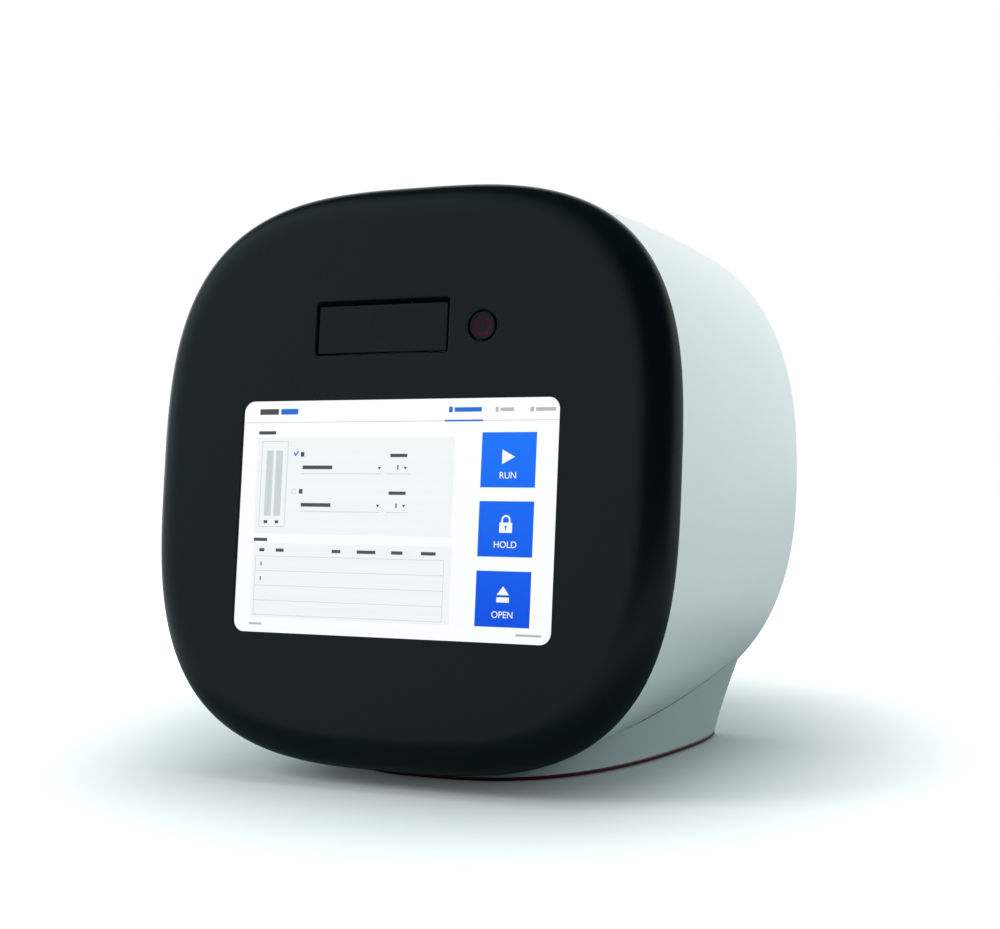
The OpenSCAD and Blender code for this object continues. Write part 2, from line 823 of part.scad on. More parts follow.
module lens_tube() color("#24282b") difference() {
    tube_z = camera_shelf_z + frame_t + nose_h;
    upright(axis_x, axis_y, tube_z, tube_d, focus_shelf_z - tube_z + frame_t);
    upright(axis_x, axis_y, tube_z - cut, tube_d - 2 * tube_wall, focus_shelf_z);
}

module filter_holder() color("#24282b") difference() {
    upright(axis_x, axis_y, focus_shelf_z + frame_t, holder_d, holder_h);
    upright(axis_x, axis_y, focus_shelf_z + frame_t + filter_floor, filter_d + 2 * seat_gap, holder_h);
    upright(axis_x, axis_y, focus_shelf_z, filter_d - 2 * filter_lap, holder_h + frame_t);
}

module emission_filter() color("#7a3b12")
    upright(axis_x, axis_y, focus_shelf_z + frame_t + filter_floor, filter_d, filter_t);

module rod_spots() for (side = [-1, 1])
    translate([axis_x + side * rod_side, axis_y + rod_back, 0]) children();

module guide_rods() color("#c9ced1") rod_spots() translate([0, 0, focus_shelf_z + frame_t])
    cylinder(d = rod_d, h = stage_z - focus_shelf_z - frame_t);

module focus_motor() color("#4a4f53") difference() {
    centred_box(axis_x, axis_y + rod_back, focus_shelf_z + frame_t, [focus_can, focus_can, focus_can_h]);
    upright(axis_x, axis_y + rod_back, focus_shelf_z + frame_t + focus_can_floor,
            plunger_d + 2 * shaft_gap, focus_can_h);
}

module focus_plunger() color("#d4d8da") {
    plunger_z = focus_shelf_z + frame_t + focus_can_floor + 2 * focus_travel + plunger_room;
    upright(axis_x, axis_y + rod_back, plunger_z, plunger_d, carriage_z - plunger_z);
}

module focus_carriage() color("#70767a") difference() {
    union() {
        upright(axis_x, axis_y, carriage_z, objective_d + 2 * carriage_wall, carriage_t);
        translate([axis_x - rod_side - rod_d, axis_y, carriage_z])
            cube([2 * (rod_side + rod_d), rod_back + rod_d, carriage_t]);
    }
    upright(axis_x, axis_y, carriage_z - cut, objective_d, carriage_t + 2 * cut);
    rod_spots() translate([0, 0, carriage_z - cut])
        cylinder(d = rod_d + 2 * shaft_gap, h = carriage_t + 2 * cut);
}

module objective_lens() color("#15181a") {
    upright(axis_x, axis_y, objective_z, objective_d, objective_l - objective_cone);
    translate([axis_x, axis_y, objective_z + objective_l - objective_cone])
        cylinder(d1 = objective_d, d2 = objective_tip_d, h = objective_cone);
}

module stage_plate() color("#9aa0a4") difference() {
    translate([axis_x - stage_half, stage_front, stage_z])
        cube([2 * stage_half, stage_end - stage_front, stage_t]);
    upright(axis_x, axis_y, stage_z - cut, stage_bore, stage_t + 2 * cut);
    upright(pinion_x, pinion_y, stage_z - cut, shaft_hole_d, stage_t + 2 * cut);
}

// Section of the right rail, from its inner face
module rail_section() {
    floor_z = tray_mid - tongue_t / 2 - slide_gap;
    roof_z = tray_mid + tongue_t / 2 + slide_gap;
    difference() {
        translate([rail_x, stage_top])
            square([rail_groove + rail_wall, roof_z + rail_roof - stage_top]);
        translate([rail_x - cut, floor_z]) square([rail_groove + cut, roof_z - floor_z]);
    }
}

module tray_rails() color("#d9dcdd") for (side = [0, 1])
    translate([axis_x, 0, 0]) mirror([side, 0, 0])
        rear_slab(0, 0, stage_front, stage_end) rail_section();

// Everything in front of the back of the tray door, which leans with the face
module door_half_space() on_face(axis_x, slot_up, door_back)
    translate([-slot_w, -slot_h * 2, 0]) cube([2 * slot_w, 4 * slot_h, slot_w]);

// A bar on the middle line of the tray, from y0 to y1
module tray_bar(w, y0, y1, z, h) translate([axis_x - w / 2, y0, z]) cube([w, y1 - y0, h]);

module tray_carrier() color("#3b4246") difference() {
    union() {
        tray_bar(tray_w, tray_y - tray_extra, tray_end + tray_extra, tray_z, tray_t);
        tray_bar(tray_w + 2 * tongue_w, tray_y + tongue_start, tray_end + tray_extra,
                 tray_mid - tongue_t / 2, tongue_t);
        tray_bar(flag_w, tray_end, tray_end + tray_extra + flag_l, tray_mid, flag_t);
    }
    door_half_space();
    tray_bar(pocket_w, pocket_y, pocket_y + pocket_l, tray_z + tray_t - pocket_d, pocket_d + cut);
    tray_bar(pocket_w - 2 * ledge_side, pocket_y + ledge_end, pocket_y + pocket_l - ledge_end,
             tray_z - cut, tray_t + 2 * cut);
    for (side = [-1, 1])
        upright(axis_x + side * pocket_w / 2, pocket_y + notch_at, tray_z + tray_t - pocket_d,
                notch_d, tray_t);
}

module tray_door() color("#1b2225") intersection() {
    slot_prism(door_gap, door_top_gap);
    on_face(axis_x, slot_up, door_back)
        translate([-slot_w, -slot_h, 0]) cube([2 * slot_w, 2 * slot_h, door_t]);
}

// Rack outline: straight flanks at the pressure angle, facing the pinion
function rack_tooth(y) = let (
    half = PI * gear_module / 4 - backlash,
    tip = half - addendum * tan(pressure),
    root = half + dedendum * tan(pressure))
    [[rack_x + dedendum, y - root], [rack_x - addendum, y - tip],
     [rack_x - addendum, y + tip], [rack_x + dedendum, y + root]];

module tray_rack() color("#c9b98a") {
    pitch = PI * gear_module;
    first = pinion_y - 1.5 * pitch;
    last = first + (rack_teeth - 1) * pitch;
    translate([0, 0, rack_z]) linear_extrude(rack_h) polygon(concat(
        [[rack_x + dedendum + rack_back, first - pitch / 2], [rack_x + dedendum, first - pitch / 2]],
        [for (i = [0 : rack_teeth - 1]) each rack_tooth(first + i * pitch)],
        [[rack_x + dedendum, last + pitch / 2], [rack_x + dedendum + rack_back, last + pitch / 2]]));
}

// Roll angle of an involute at radius r from the base circle rb
function involute(rb, r) = let (a = acos(rb / r)) tan(a) * 180 / PI - a;

function polar(r, a) = [r * cos(a), r * sin(a)];

// One gear tooth that points along the angle a
function gear_tooth(a) = let (
    rb = pinion_r * cos(pressure),
    tip = pinion_r + addendum,
    half = 90 / pinion_teeth - backlash / pinion_r * 180 / PI + involute(rb, pinion_r),
    radii = [for (k = [0 : 4]) mix(rb, tip, k / 4)])
    concat(
        [polar(pinion_r - dedendum, a - half)],
        [for (k = [0 : 4]) polar(radii[k], a - half + involute(rb, radii[k]))],
        [for (k = [4 : -1 : 0]) polar(radii[k], a + half - involute(rb, radii[k]))],
        [polar(pinion_r - dedendum, a + half)]);

module drive_pinion() color("#e2ddc8") translate([pinion_x, pinion_y, pinion_z]) linear_extrude(pinion_h)
    difference() {
        polygon([for (i = [0 : pinion_teeth - 1]) each gear_tooth(360 * i / pinion_teeth)]);
        circle(d = shaft_d);
    }

module motor_shaft() color("#c9ced1")
    upright(pinion_x, pinion_y, stage_z - shaft_grip, shaft_d, pinion_z + pinion_h - stage_z + shaft_grip);

module tray_motor() color("#4a4f53") difference() {
    union() {
        upright(pinion_x, pinion_y, stage_z - gearbox_l, gearbox_d, gearbox_l);
        upright(pinion_x, pinion_y, stage_z - motor_l, motor_d, motor_l - gearbox_l);
    }
    upright(pinion_x, pinion_y, stage_z - shaft_grip - shaft_bore_end, shaft_d + 2 * shaft_gap,
            shaft_grip + shaft_bore_end + cut);
}

module position_sensor() color("#202326") difference() {
    sensor_y = tray_end + 2 * tray_extra;
    centred_box(axis_x, sensor_y, stage_top, [sensor_w, sensor_l, tray_mid + sensor_rise - stage_top]);
    centred_box(axis_x, sensor_y, tray_mid - sensor_base,
                [sensor_slot, sensor_l + 2 * cut, sensor_rise + sensor_base + cut]);
}

module led_bridge() color("#9aa0a4") difference() {
    union() {
        for (side = [-1, 1]) centred_box(axis_x + side * (frame_half + frame_t / 2), axis_y, stage_top,
            [frame_t, bridge_w, bridge_z - stage_top]);
        centred_box(axis_x, axis_y, bridge_z, [2 * (frame_half + frame_t), bridge_w, frame_t]);
    }
    upright(axis_x, axis_y, bridge_z - cut, light_d, frame_t + 2 * cut);
}

module condenser_barrel() color("#24282b") difference() {
    upright(axis_x, axis_y, bridge_z - barrel_l, barrel_d, barrel_l);
    upright(axis_x, axis_y, bridge_z - barrel_l - cut, light_d - 2 * light_lap, barrel_l + 2 * cut);
    upright(axis_x, axis_y, bridge_z - lens_deep, light_d + seat_gap, lens_deep + cut);
}

module condenser_lens() color("#cfe3ea") upright(axis_x, axis_y, bridge_z - lens_deep, light_d, lens_t);

module led_board() color("#e8e8e0") {
    upright(axis_x, axis_y, bridge_z + frame_t, led_pcb_d, led_t);
    upright(axis_x, axis_y, bridge_z + frame_t - led_h, led_d, led_h);
}

module heat_sink() color("#8d9296") {
    sink_z = bridge_z + frame_t + led_t;
    centred_box(axis_x, axis_y, sink_z, [sink_w, sink_w, sink_base]);
    for (i = [0 : fin_count - 1])
        translate([axis_x - sink_w / 2 + i * fin_pitch, axis_y - sink_w / 2, sink_z])
            cube([fin_t, sink_w, sink_h]);
}

module board_spots() for (x = [-1, 1], y = [0, 1])
    translate([x * (board_w / 2 - standoff_edge),
               board_y + standoff_edge + y * (board_l - 2 * standoff_edge), 0]) children();

module board_standoffs() color("#c8a24a") board_spots() translate([0, 0, frame_z])
    cylinder(d = standoff_d, h = standoff_h);

module main_board() color("#1d5c3a") {
    translate([-board_w / 2, board_y, board_z]) cube([board_w, board_l, pcb_t]);
    for (c = board_chips)
        centred_box(c[0] * board_w, board_y + c[1] * board_l, board_top,
                    [c[2] * board_w, c[3] * board_l, c[4]]);
}

// A block that runs forward from the outside of the rear panel
module port_block(x, z, w, h, l, out) translate([x - w / 2, panel_out - l, z]) cube([w, l + out, h]);

module usb_ports() color("#c3c8cb") difference() {
    port_block(usb_x, board_top, usb_w, usb_h, usb_l, 0);
    for (i = [0, 1]) translate([0, 0, board_top + usb_mouth_z + i * usb_pitch]) difference() {
        port_block(usb_x, 0, usb_w - 2 * usb_wall, usb_mouth_h, port_deep, cut);
        port_block(usb_x, usb_tongue_z, usb_w - 6 * usb_wall, usb_tongue_t, port_deep, 0);
    }
}

module network_port() color("#b5babd") difference() {
    port_block(net_x, board_top, net_w, net_h, net_l, 0);
    port_block(net_x, board_top + net_mouth_z, net_mouth_w, net_mouth_h, port_deep, cut);
    port_block(net_x, board_top + net_clip_z, net_clip_w, net_mouth_h, port_deep, cut);
}

module power_jack() color("#17191b") {
    jack_end = panel_in - jack_deep;
    rear_slab(jack_x, jack_z, jack_end, panel_out) difference() {
        circle(d = jack_d);
        circle(d = jack_bore_d);
    }
    rear_slab(jack_x, jack_z, jack_end - jack_floor, jack_end) circle(d = jack_d);
    rear_slab(jack_x, jack_z, jack_end, panel_out - jack_rim_t) circle(d = jack_pin_d);
    rear_slab(jack_x, jack_z, panel_out, panel_out + jack_rim_t) difference() {
        circle(d = jack_d + 2 * jack_rim);
        circle(d = jack_bore_d);
    }
}

module switch_housing() color("#17191b") difference() {
    union() {
        rear_slab(rocker_x, rocker_z, panel_out - switch_depth, panel_out)
            square([switch_w, switch_h], center = true);
        rear_slab(rocker_x, rocker_z, panel_out, panel_out + bezel_t)
            square([switch_w + 2 * bezel, switch_h + 2 * bezel], center = true);
    }
    rear_slab(rocker_x, rocker_z, panel_out - switch_cavity, panel_out + bezel_t + cut)
        square([switch_w - 2 * switch_wall, switch_h - 2 * switch_wall], center = true);
    translate([rocker_x, rocker_y, rocker_z]) rotate([0, 90, 0])
        cylinder(d = rocker_pin_d + 2 * shaft_gap, h = switch_w - switch_wall, center = true);
}

// Side view of the rocker about its pivot, with two faces that meet in a shallow valley
module rocker_side() polygon([
    [-rocker_under, rocker_draft - rocker_h / 2], [-rocker_under, rocker_h / 2 - rocker_draft],
    [rocker_top, rocker_h / 2], [rocker_valley, 0], [rocker_top, -rocker_h / 2]]);

module rocker_switch() color("#26292c")
    translate([rocker_x, rocker_y, rocker_z]) rotate([rocker_lean, 0, 0]) {
    translate([-rocker_w / 2, 0, 0]) rotate([90, 0, 90]) linear_extrude(rocker_w) rocker_side();
    rotate([0, 90, 0]) cylinder(d = rocker_pin_d, h = switch_w - 1.4 * switch_wall, center = true);
}

module fan_frame() color("#2a2e31") {
    fan_y = panel_in - fan_t;
    rear_slab(fan_x, fan_z, fan_y, panel_in) difference() {
        rounded(fan_size, fan_size, fan_corner);
        circle(d = fan_bore);
        fan_spots() circle(d = fan_screw_d + seat_gap);
    }
    rear_slab(fan_x, fan_z, fan_y, fan_y + spider_t) difference() {
        union() {
            circle(d = fan_hub_d);
            for (a = [45, 135]) rotate(a) square([fan_bore + fan_wall, spider_w], center = true);
        }
        circle(d = fan_shaft_d + 2 * shaft_gap);
    }
}

module fan_screws() color("#8d9296") {
    rear_slab(fan_x, fan_z, panel_in - fan_screw_l, panel_out) fan_spots() circle(d = fan_screw_d);
    rear_slab(fan_x, fan_z, panel_out, panel_out + fan_head_h) fan_spots() circle(d = fan_head_d);
}

module fan_rotor() color("#33383b") {
    hub_y = panel_in - fan_t + spider_t + slide_gap;
    hub_end = panel_in - fan_rotor_gap;
    blade_l = (fan_bore - fan_hub_d) / 2 + fan_blade_root - fan_blade_gap;
    rear_slab(fan_x, fan_z, hub_y, hub_end) circle(d = fan_hub_d);
    rear_slab(fan_x, fan_z, panel_in - fan_t, hub_y) circle(d = fan_shaft_d);
    for (i = [0 : fan_blades - 1])
        translate([fan_x, (hub_y + hub_end) / 2, fan_z]) rotate([0, 360 * i / fan_blades, 0])
            translate([fan_hub_d / 2 - fan_blade_root, 0, 0]) rotate([fan_blade_pitch, 0, 0])
                translate([0, -fan_blade_t / 2, -fan_blade_w / 2]) cube([blade_l, fan_blade_t, fan_blade_w]);
}

front_fascia();
body_shell();
rear_panel();
rear_panel_screws();
base_pedestal();
base_trim();
rubber_feet();
base_screws();
touch_glass();
lcd_panel();
display_bracket();
display_screws();
display_board();
button_housing();
button_board();
power_button();
chassis_plate();
chassis_screws();
frame_plates();
camera_shelf();
focus_shelf();
stage_plate();
tray_rails();
tray_carrier();
tray_door();
tray_rack();
tray_motor();
motor_shaft();
drive_pinion();
position_sensor();
led_bridge();
led_board();
heat_sink();
condenser_barrel();
condenser_lens();
focus_motor();
guide_rods();
focus_carriage();
focus_plunger();
objective_lens();
filter_holder();
emission_filter();
lens_tube();
camera_module();
main_board();
board_standoffs();
usb_ports();
network_port();
power_jack();
switch_housing();
rocker_switch();
fan_frame();
fan_screws();
fan_rotor();
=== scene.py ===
import json
import math

import bmesh
import bpy
import numpy as np
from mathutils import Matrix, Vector
from mathutils.geometry import delaunay_2d_cdt


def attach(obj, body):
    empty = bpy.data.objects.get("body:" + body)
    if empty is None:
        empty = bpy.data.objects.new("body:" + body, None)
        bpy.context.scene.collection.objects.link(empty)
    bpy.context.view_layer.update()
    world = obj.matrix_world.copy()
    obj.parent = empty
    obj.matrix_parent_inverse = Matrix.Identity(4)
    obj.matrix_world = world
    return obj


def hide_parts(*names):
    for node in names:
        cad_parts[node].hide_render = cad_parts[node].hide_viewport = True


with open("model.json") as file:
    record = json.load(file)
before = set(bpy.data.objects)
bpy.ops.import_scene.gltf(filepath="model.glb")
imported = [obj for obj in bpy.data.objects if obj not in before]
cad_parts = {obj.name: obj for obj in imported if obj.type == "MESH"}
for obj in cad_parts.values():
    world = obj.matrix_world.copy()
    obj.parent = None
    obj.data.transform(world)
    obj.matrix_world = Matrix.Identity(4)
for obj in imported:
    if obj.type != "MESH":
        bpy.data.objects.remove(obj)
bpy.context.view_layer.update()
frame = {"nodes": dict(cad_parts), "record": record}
scene = bpy.context.scene
mm = 0.001  # sizes below are in millimetres unless a note says metres
weld = 0.001 * mm  # points closer than this become one


# sRGB hex to the linear colour that shader sockets take
def linear(hexColour):
    parts = [int(hexColour[i:i + 2], 16) / 255 for i in (1, 3, 5)]
    return tuple(p / 12.92 if p <= 0.04045 else ((p + 0.055) / 1.055) ** 2.4 for p in parts) + (1.0,)


# adds one node with its settings, and links or sets its inputs
def addNode(tree, kind, inputs=None, **settings):
    node = tree.nodes.new(kind)
    for name, value in settings.items():
        setattr(node, name, value)
    for key, value in (inputs or {}).items():
        if isinstance(value, bpy.types.NodeSocket):
            tree.links.new(value, node.inputs[key])
        else:
            node.inputs[key].default_value = value
    return node


# a new material with nothing in its node tree
def emptyMaterial(name):
    material = bpy.data.materials.new(name)
    material.use_nodes = True
    material.node_tree.nodes.clear()
    return material, material.node_tree


# moulded plastics: a fine eroded grain, and slow drifts of shade and gloss from the flow in the mould
plasticFlow = dict(driftSize=45, smoother=0.03, rougher=0.03, height=0.1)
plasticLooks = {
    "satinBlackAbs": dict(colour="#040f13", drift="#061115", rough=0.28, shine=0.22, grain=0.5, bump=0.04),
    "glossWhiteAbs": dict(colour="#eff2f2", drift="#ebeff0", rough=0.30, shine=0.45, grain=0.6, bump=0.02),
    "satinGreyAbs": dict(colour="#b7c2c3", drift="#b1bcbd", rough=0.42, shine=0.40, grain=0.6, bump=0.05),
    "glossBurgundyAbs": dict(colour="#440a1e", drift="#3d091b", rough=0.22, shine=0.25, grain=0.5, bump=0.02),
    "mouldedRubber": dict(colour="#141516", drift="#1a1b1c", rough=0.75, shine=0.30, grain=0.5, bump=0.15),
    "innerNylon": dict(colour="#17191b", drift="#1d2022", rough=0.50, shine=0.40, grain=0.5, bump=0.10),
    "naturalAcetal": dict(colour="#e0dccb", drift="#d8d3c0", rough=0.40, shine=0.45, grain=0.6, bump=0.05),
    "trayAbs": dict(colour="#2c3236", drift="#30373b", rough=0.45, shine=0.40, grain=0.5, bump=0.08),
    "solderMask": dict(colour="#15492c", drift="#0f3b23", rough=0.35, shine=0.50, grain=2.5, bump=0.10),
    "whiteInk": dict(colour="#dfe2e2", drift="#d6dada", rough=0.50, shine=0.30, grain=0.4, bump=0.02),
    "emblemInk": dict(colour="#4c0a21", drift="#45091e", rough=0.50, shine=0.12, grain=0.4, bump=0.02),
}


# shade and gloss run between two ends along the pattern, and the bump follows the relief
def patternedSurface(tree, look, pattern, relief, spread, constants):
    colour = addNode(tree, "ShaderNodeMix", {"Factor": pattern.outputs["Fac"], "A": linear(look["colour"]),
                                             "B": linear(look["drift"])}, data_type="RGBA")
    gloss = addNode(tree, "ShaderNodeMapRange", {"Value": pattern.outputs["Fac"],
                                                 "To Min": look["rough"] - spread["smoother"],
                                                 "To Max": look["rough"] + spread["rougher"]})
    bump = addNode(tree, "ShaderNodeBump", {"Height": relief.outputs["Fac"], "Strength": look["bump"],
                                            "Distance": spread["height"] * mm})
    surface = addNode(tree, "ShaderNodeBsdfPrincipled", {
        "Base Color": colour.outputs["Result"], "Roughness": gloss.outputs["Result"],
        "Normal": bump.outputs["Normal"], **constants})
    addNode(tree, "ShaderNodeOutputMaterial", {"Surface": surface.outputs["BSDF"]})


# a slow noise drives shade and gloss, and a fine one the bump
def mouldedPlastic(name, look):
    material, tree = emptyMaterial(name)
    place = addNode(tree, "ShaderNodeTexCoord").outputs["Object"]
    grain = addNode(tree, "ShaderNodeTexNoise", {
        "Vector": place, "Scale": 1 / (look["grain"] * mm), "Detail": 2.0})
    drift = addNode(tree, "ShaderNodeTexNoise", {
        "Vector": place, "Scale": 1 / (plasticFlow["driftSize"] * mm), "Detail": 3.0})
    patternedSurface(tree, look, drift, grain, plasticFlow, {"Specular IOR Level": look["shine"], "IOR": 1.5})
    return material


# metals: fine lines along one direction from rolling, grinding or turning, smoother and rougher by turns
metalLines = dict(smoother=0.06, rougher=0.08, height=0.1)
metalLooks = {
    "zincSheet": dict(colour="#b9bdc0", drift="#a9adb1", rough=0.38, lines=(1, 30, 30), pitch=12, bump=0.08),
    "zincScrew": dict(colour="#b4b7b8", drift="#9ea2a4", rough=0.30, lines=(8, 8, 1), pitch=3, bump=0.10),
    "milledAluminium": dict(colour="#c4c7ca", drift="#b6babd", rough=0.34, lines=(1, 40, 8), pitch=14,
                            bump=0.08),
    "blackAnodised": dict(colour="#16181a", drift="#1d2022", rough=0.42, lines=(6, 6, 1), pitch=4, bump=0.06),
    "motorCan": dict(colour="#85898c", drift="#777b7e", rough=0.35, lines=(4, 4, 1), pitch=5, bump=0.06),
    "groundSteel": dict(colour="#cdd1d3", drift="#bfc3c6", rough=0.22, lines=(1, 1, 12), pitch=4, bump=0.05),
    "turnedBrass": dict(colour="#c8a24a", drift="#b8923e", rough=0.28, lines=(1, 1, 12), pitch=3, bump=0.06),
    "platedShell": dict(colour="#c2c6c8", drift="#b0b5b8", rough=0.26, lines=(20, 1, 1), pitch=6, bump=0.05),
}


# one noise, squeezed across the lines, drives shade, gloss and bump
def linedMetal(name, look):
    material, tree = emptyMaterial(name)
    place = addNode(tree, "ShaderNodeTexCoord").outputs["Object"]
    drawn = addNode(tree, "ShaderNodeMapping", {"Vector": place, "Scale": look["lines"]})
    lines = addNode(tree, "ShaderNodeTexNoise", {
        "Vector": drawn.outputs["Vector"], "Scale": 1 / (look["pitch"] * mm), "Detail": 4.0})
    patternedSurface(tree, look, lines, lines, metalLines, {"Metallic": 1.0})
    return material


# glass: light goes straight through a thin pane, and a faint sheen, uneven from wiping, lies on it
wipeSize = 30
glassLooks = {
    "coverGlass": dict(tint="#fdfefe", sheen=0.05, smear=0.03, ior=1.22),
    "opticalGlass": dict(tint="#e6f2f4", sheen=0.02, smear=0.02, ior=1.52),
    "filterGlass": dict(tint="#a8541c", sheen=0.03, smear=0.02, ior=1.52),
}


# the clear pane and the sheen are mixed by the angle of view, as Fresnel's law has it
def clearGlass(name, look):
    material, tree = emptyMaterial(name)
    place = addNode(tree, "ShaderNodeTexCoord").outputs["Object"]
    smear = addNode(tree, "ShaderNodeTexNoise", {
        "Vector": place, "Scale": 1 / (wipeSize * mm), "Detail": 3.0})
    rough = addNode(tree, "ShaderNodeMapRange", {"Value": smear.outputs["Fac"], "To Min": look["sheen"],
                                                 "To Max": look["sheen"] + look["smear"]})
    through = addNode(tree, "ShaderNodeBsdfTransparent", {"Color": linear(look["tint"])})
    mirror = addNode(tree, "ShaderNodeBsdfGlossy", {"Roughness": rough.outputs["Result"]})
    edge = addNode(tree, "ShaderNodeFresnel", {"IOR": look["ior"]})
    # only the outer face mirrors; the far face would throw the light back into the pane
    inner = addNode(tree, "ShaderNodeNewGeometry").outputs["Backfacing"]
    share = addNode(tree, "ShaderNodeMix", {"Factor": inner, "A": edge.outputs["Fac"], "B": 0.0})
    surface = addNode(tree, "ShaderNodeMixShader", {0: share.outputs["Result"], 1: through.outputs["BSDF"],
                                                    2: mirror.outputs["BSDF"]})
    addNode(tree, "ShaderNodeOutputMaterial", {"Surface": surface.outputs["Shader"]})
    return material


# a lit display: each colour glows evenly, fades a little from top to bottom and shows faint rows;
# rows of pixels are really 0.2 mm apart, and are drawn as 5 mm bands so that they can show at all
litRows = dict(pitch=5.0, dim=0.99)
litLooks = {
    "litWhite": dict(top="#ffffff", foot="#fcfdfd", glow=1.04),
    "litPanel": dict(top="#f4f8f7", foot="#f2f6f6", glow=1.03),
    "litLine": dict(top="#cfd8d8", foot="#d3dbdb", glow=1.0),
    "litText": dict(top="#4c5659", foot="#525c60", glow=1.0),
    "litFaint": dict(top="#b9c2c4", foot="#b4bdbf", glow=1.0),
    "litAccent": dict(top="#2f74d8", foot="#2a66cc", glow=1.0),
    "litKey": dict(top="#2079ff", foot="#1052e4", glow=1.0),
    "litMark": dict(top="#ffffff", foot="#fafcff", glow=1.0),
}


# the colour goes from foot to top with the height, and a wave along the height gives the rows
def litSheet(name, look, low, high):
    material, tree = emptyMaterial(name)
    place = addNode(tree, "ShaderNodeTexCoord").outputs["Object"]
    height = addNode(tree, "ShaderNodeSeparateXYZ", {"Vector": place}).outputs["Z"]
    share = addNode(tree, "ShaderNodeMapRange", {
        "Value": height, "From Min": low * mm, "From Max": high * mm})
    colour = addNode(tree, "ShaderNodeMix", {"Factor": share.outputs["Result"], "A": linear(look["foot"]),
                                             "B": linear(look["top"])}, data_type="RGBA")
    # a wave's bands are pi / 10 apart at scale 1
    rows = addNode(tree, "ShaderNodeTexWave", {
        "Vector": place, "Scale": math.pi / 10 / (litRows["pitch"] * mm)}, bands_direction="Z")
    level = addNode(tree, "ShaderNodeMapRange", {
        "Value": rows.outputs["Fac"], "To Min": look["glow"] * litRows["dim"], "To Max": look["glow"]})
    surface = addNode(tree, "ShaderNodeEmission", {"Color": colour.outputs["Result"],
                                                   "Strength": level.outputs["Result"]})
    addNode(tree, "ShaderNodeOutputMaterial", {"Surface": surface.outputs["Emission"]})
    return material


materials = {name: mouldedPlastic(name, look) for name, look in plasticLooks.items()}
materials.update({name: linedMetal(name, look) for name, look in metalLooks.items()})
materials.update({name: clearGlass(name, look) for name, look in glassLooks.items()})

slotFinish = {
    "black_abs": "satinBlackAbs", "white_abs": "glossWhiteAbs", "grey_abs": "satinGreyAbs",
    "burgundy_abs": "glossBurgundyAbs", "black_rubber": "mouldedRubber", "cover_glass": "coverGlass",
    "lit_display": "innerNylon", "sheet_steel": "zincSheet", "zinc_screw": "zincScrew",
    "circuit_board": "solderMask", "inner_plastic": "innerNylon", "plain_aluminium": "milledAluminium",
    "black_aluminium": "blackAnodised", "acetal": "naturalAcetal", "tray_plastic": "trayAbs",
    "motor_steel": "motorCan", "ground_steel": "groundSteel", "optical_glass": "opticalGlass",
    "filter_glass": "filterGlass", "brass_spacer": "turnedBrass", "port_steel": "platedShell",
}
for subpart in frame["record"]["subparts"]:
    cadNode = frame["nodes"][subpart["node"]]
    cadNode.data.materials.clear()
    cadNode.data.materials.append(materials[slotFinish[subpart["material_slot"]]])
print("materials done")


# quads of a grid of points, whose columns run round and close; rows close too if asked
def gridFaces(rows, columns, ringRows=False):
    row = np.arange(rows if ringRows else rows - 1)[:, None]
    column = np.arange(columns)[None, :]
    nextRow = (row + 1) % rows
    nextColumn = (column + 1) % columns
    quads = np.stack((row * columns + column, row * columns + nextColumn,
                      nextRow * columns + nextColumn, nextRow * columns + column), axis=-1)
    return quads.reshape(-1, 4).tolist()


# several (points, faces) pairs as one
def joined(parts):
    points, faces, start = [], [], 0
    for somePoints, someFaces in parts:
        points.append(somePoints.reshape(-1, 3))
        faces += [[start + k for k in face] for face in someFaces]
        start += len(points[-1])
    return np.concatenate(points), faces


# makes one piece from points in millimetres: doubles merged, turned outwards by its volume, shaded smooth,
# and with its slot's finish unless another is named
def makePiece(name, parts, body, slot, replaced=(), finish=None, sharp=32):
    points, faces = joined(parts)
    mesh = bpy.data.meshes.new(name)
    mesh.from_pydata((points * mm).tolist(), [], faces)
    work = bmesh.new()
    work.from_mesh(mesh)
    bmesh.ops.remove_doubles(work, verts=work.verts, dist=weld)
    bmesh.ops.dissolve_degenerate(work, edges=work.edges, dist=weld / 2)
    bmesh.ops.recalc_face_normals(work, faces=work.faces)
    if work.calc_volume(signed=True) < 0:
        bmesh.ops.reverse_faces(work, faces=work.faces)
    work.to_mesh(mesh)
    work.free()
    mesh.polygons.foreach_set("use_smooth", np.ones(len(mesh.polygons), dtype=bool))
    mesh.set_sharp_from_angle(angle=math.radians(sharp))
    mesh.materials.append(materials[finish or slotFinish[slot]])
    piece = bpy.data.objects.new(name, mesh)
    scene.collection.objects.link(piece)
    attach(piece, body)
    if replaced:
        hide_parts(*replaced)


# superellipse: |x / width| and |y / height|, raised to the power square, add up to 1
def superPoint(halfWidth, halfHeight, square, turn):
    reach = (np.abs(np.cos(turn)) ** square + np.abs(np.sin(turn)) ** square) ** (-1 / square)
    return halfWidth * reach * np.cos(turn), halfHeight * reach * np.sin(turn)


# the whole superellipse, in even turns
def squircle(halfWidth, halfHeight, square, count):
    return superPoint(halfWidth, halfHeight, square, np.linspace(0, 2 * np.pi, count, endpoint=False))


# circle: a superellipse of power 2, one row per radius
def circle(radius, count):
    radius = np.asarray(radius)[:, None]
    return squircle(radius, radius, 2.0, count)


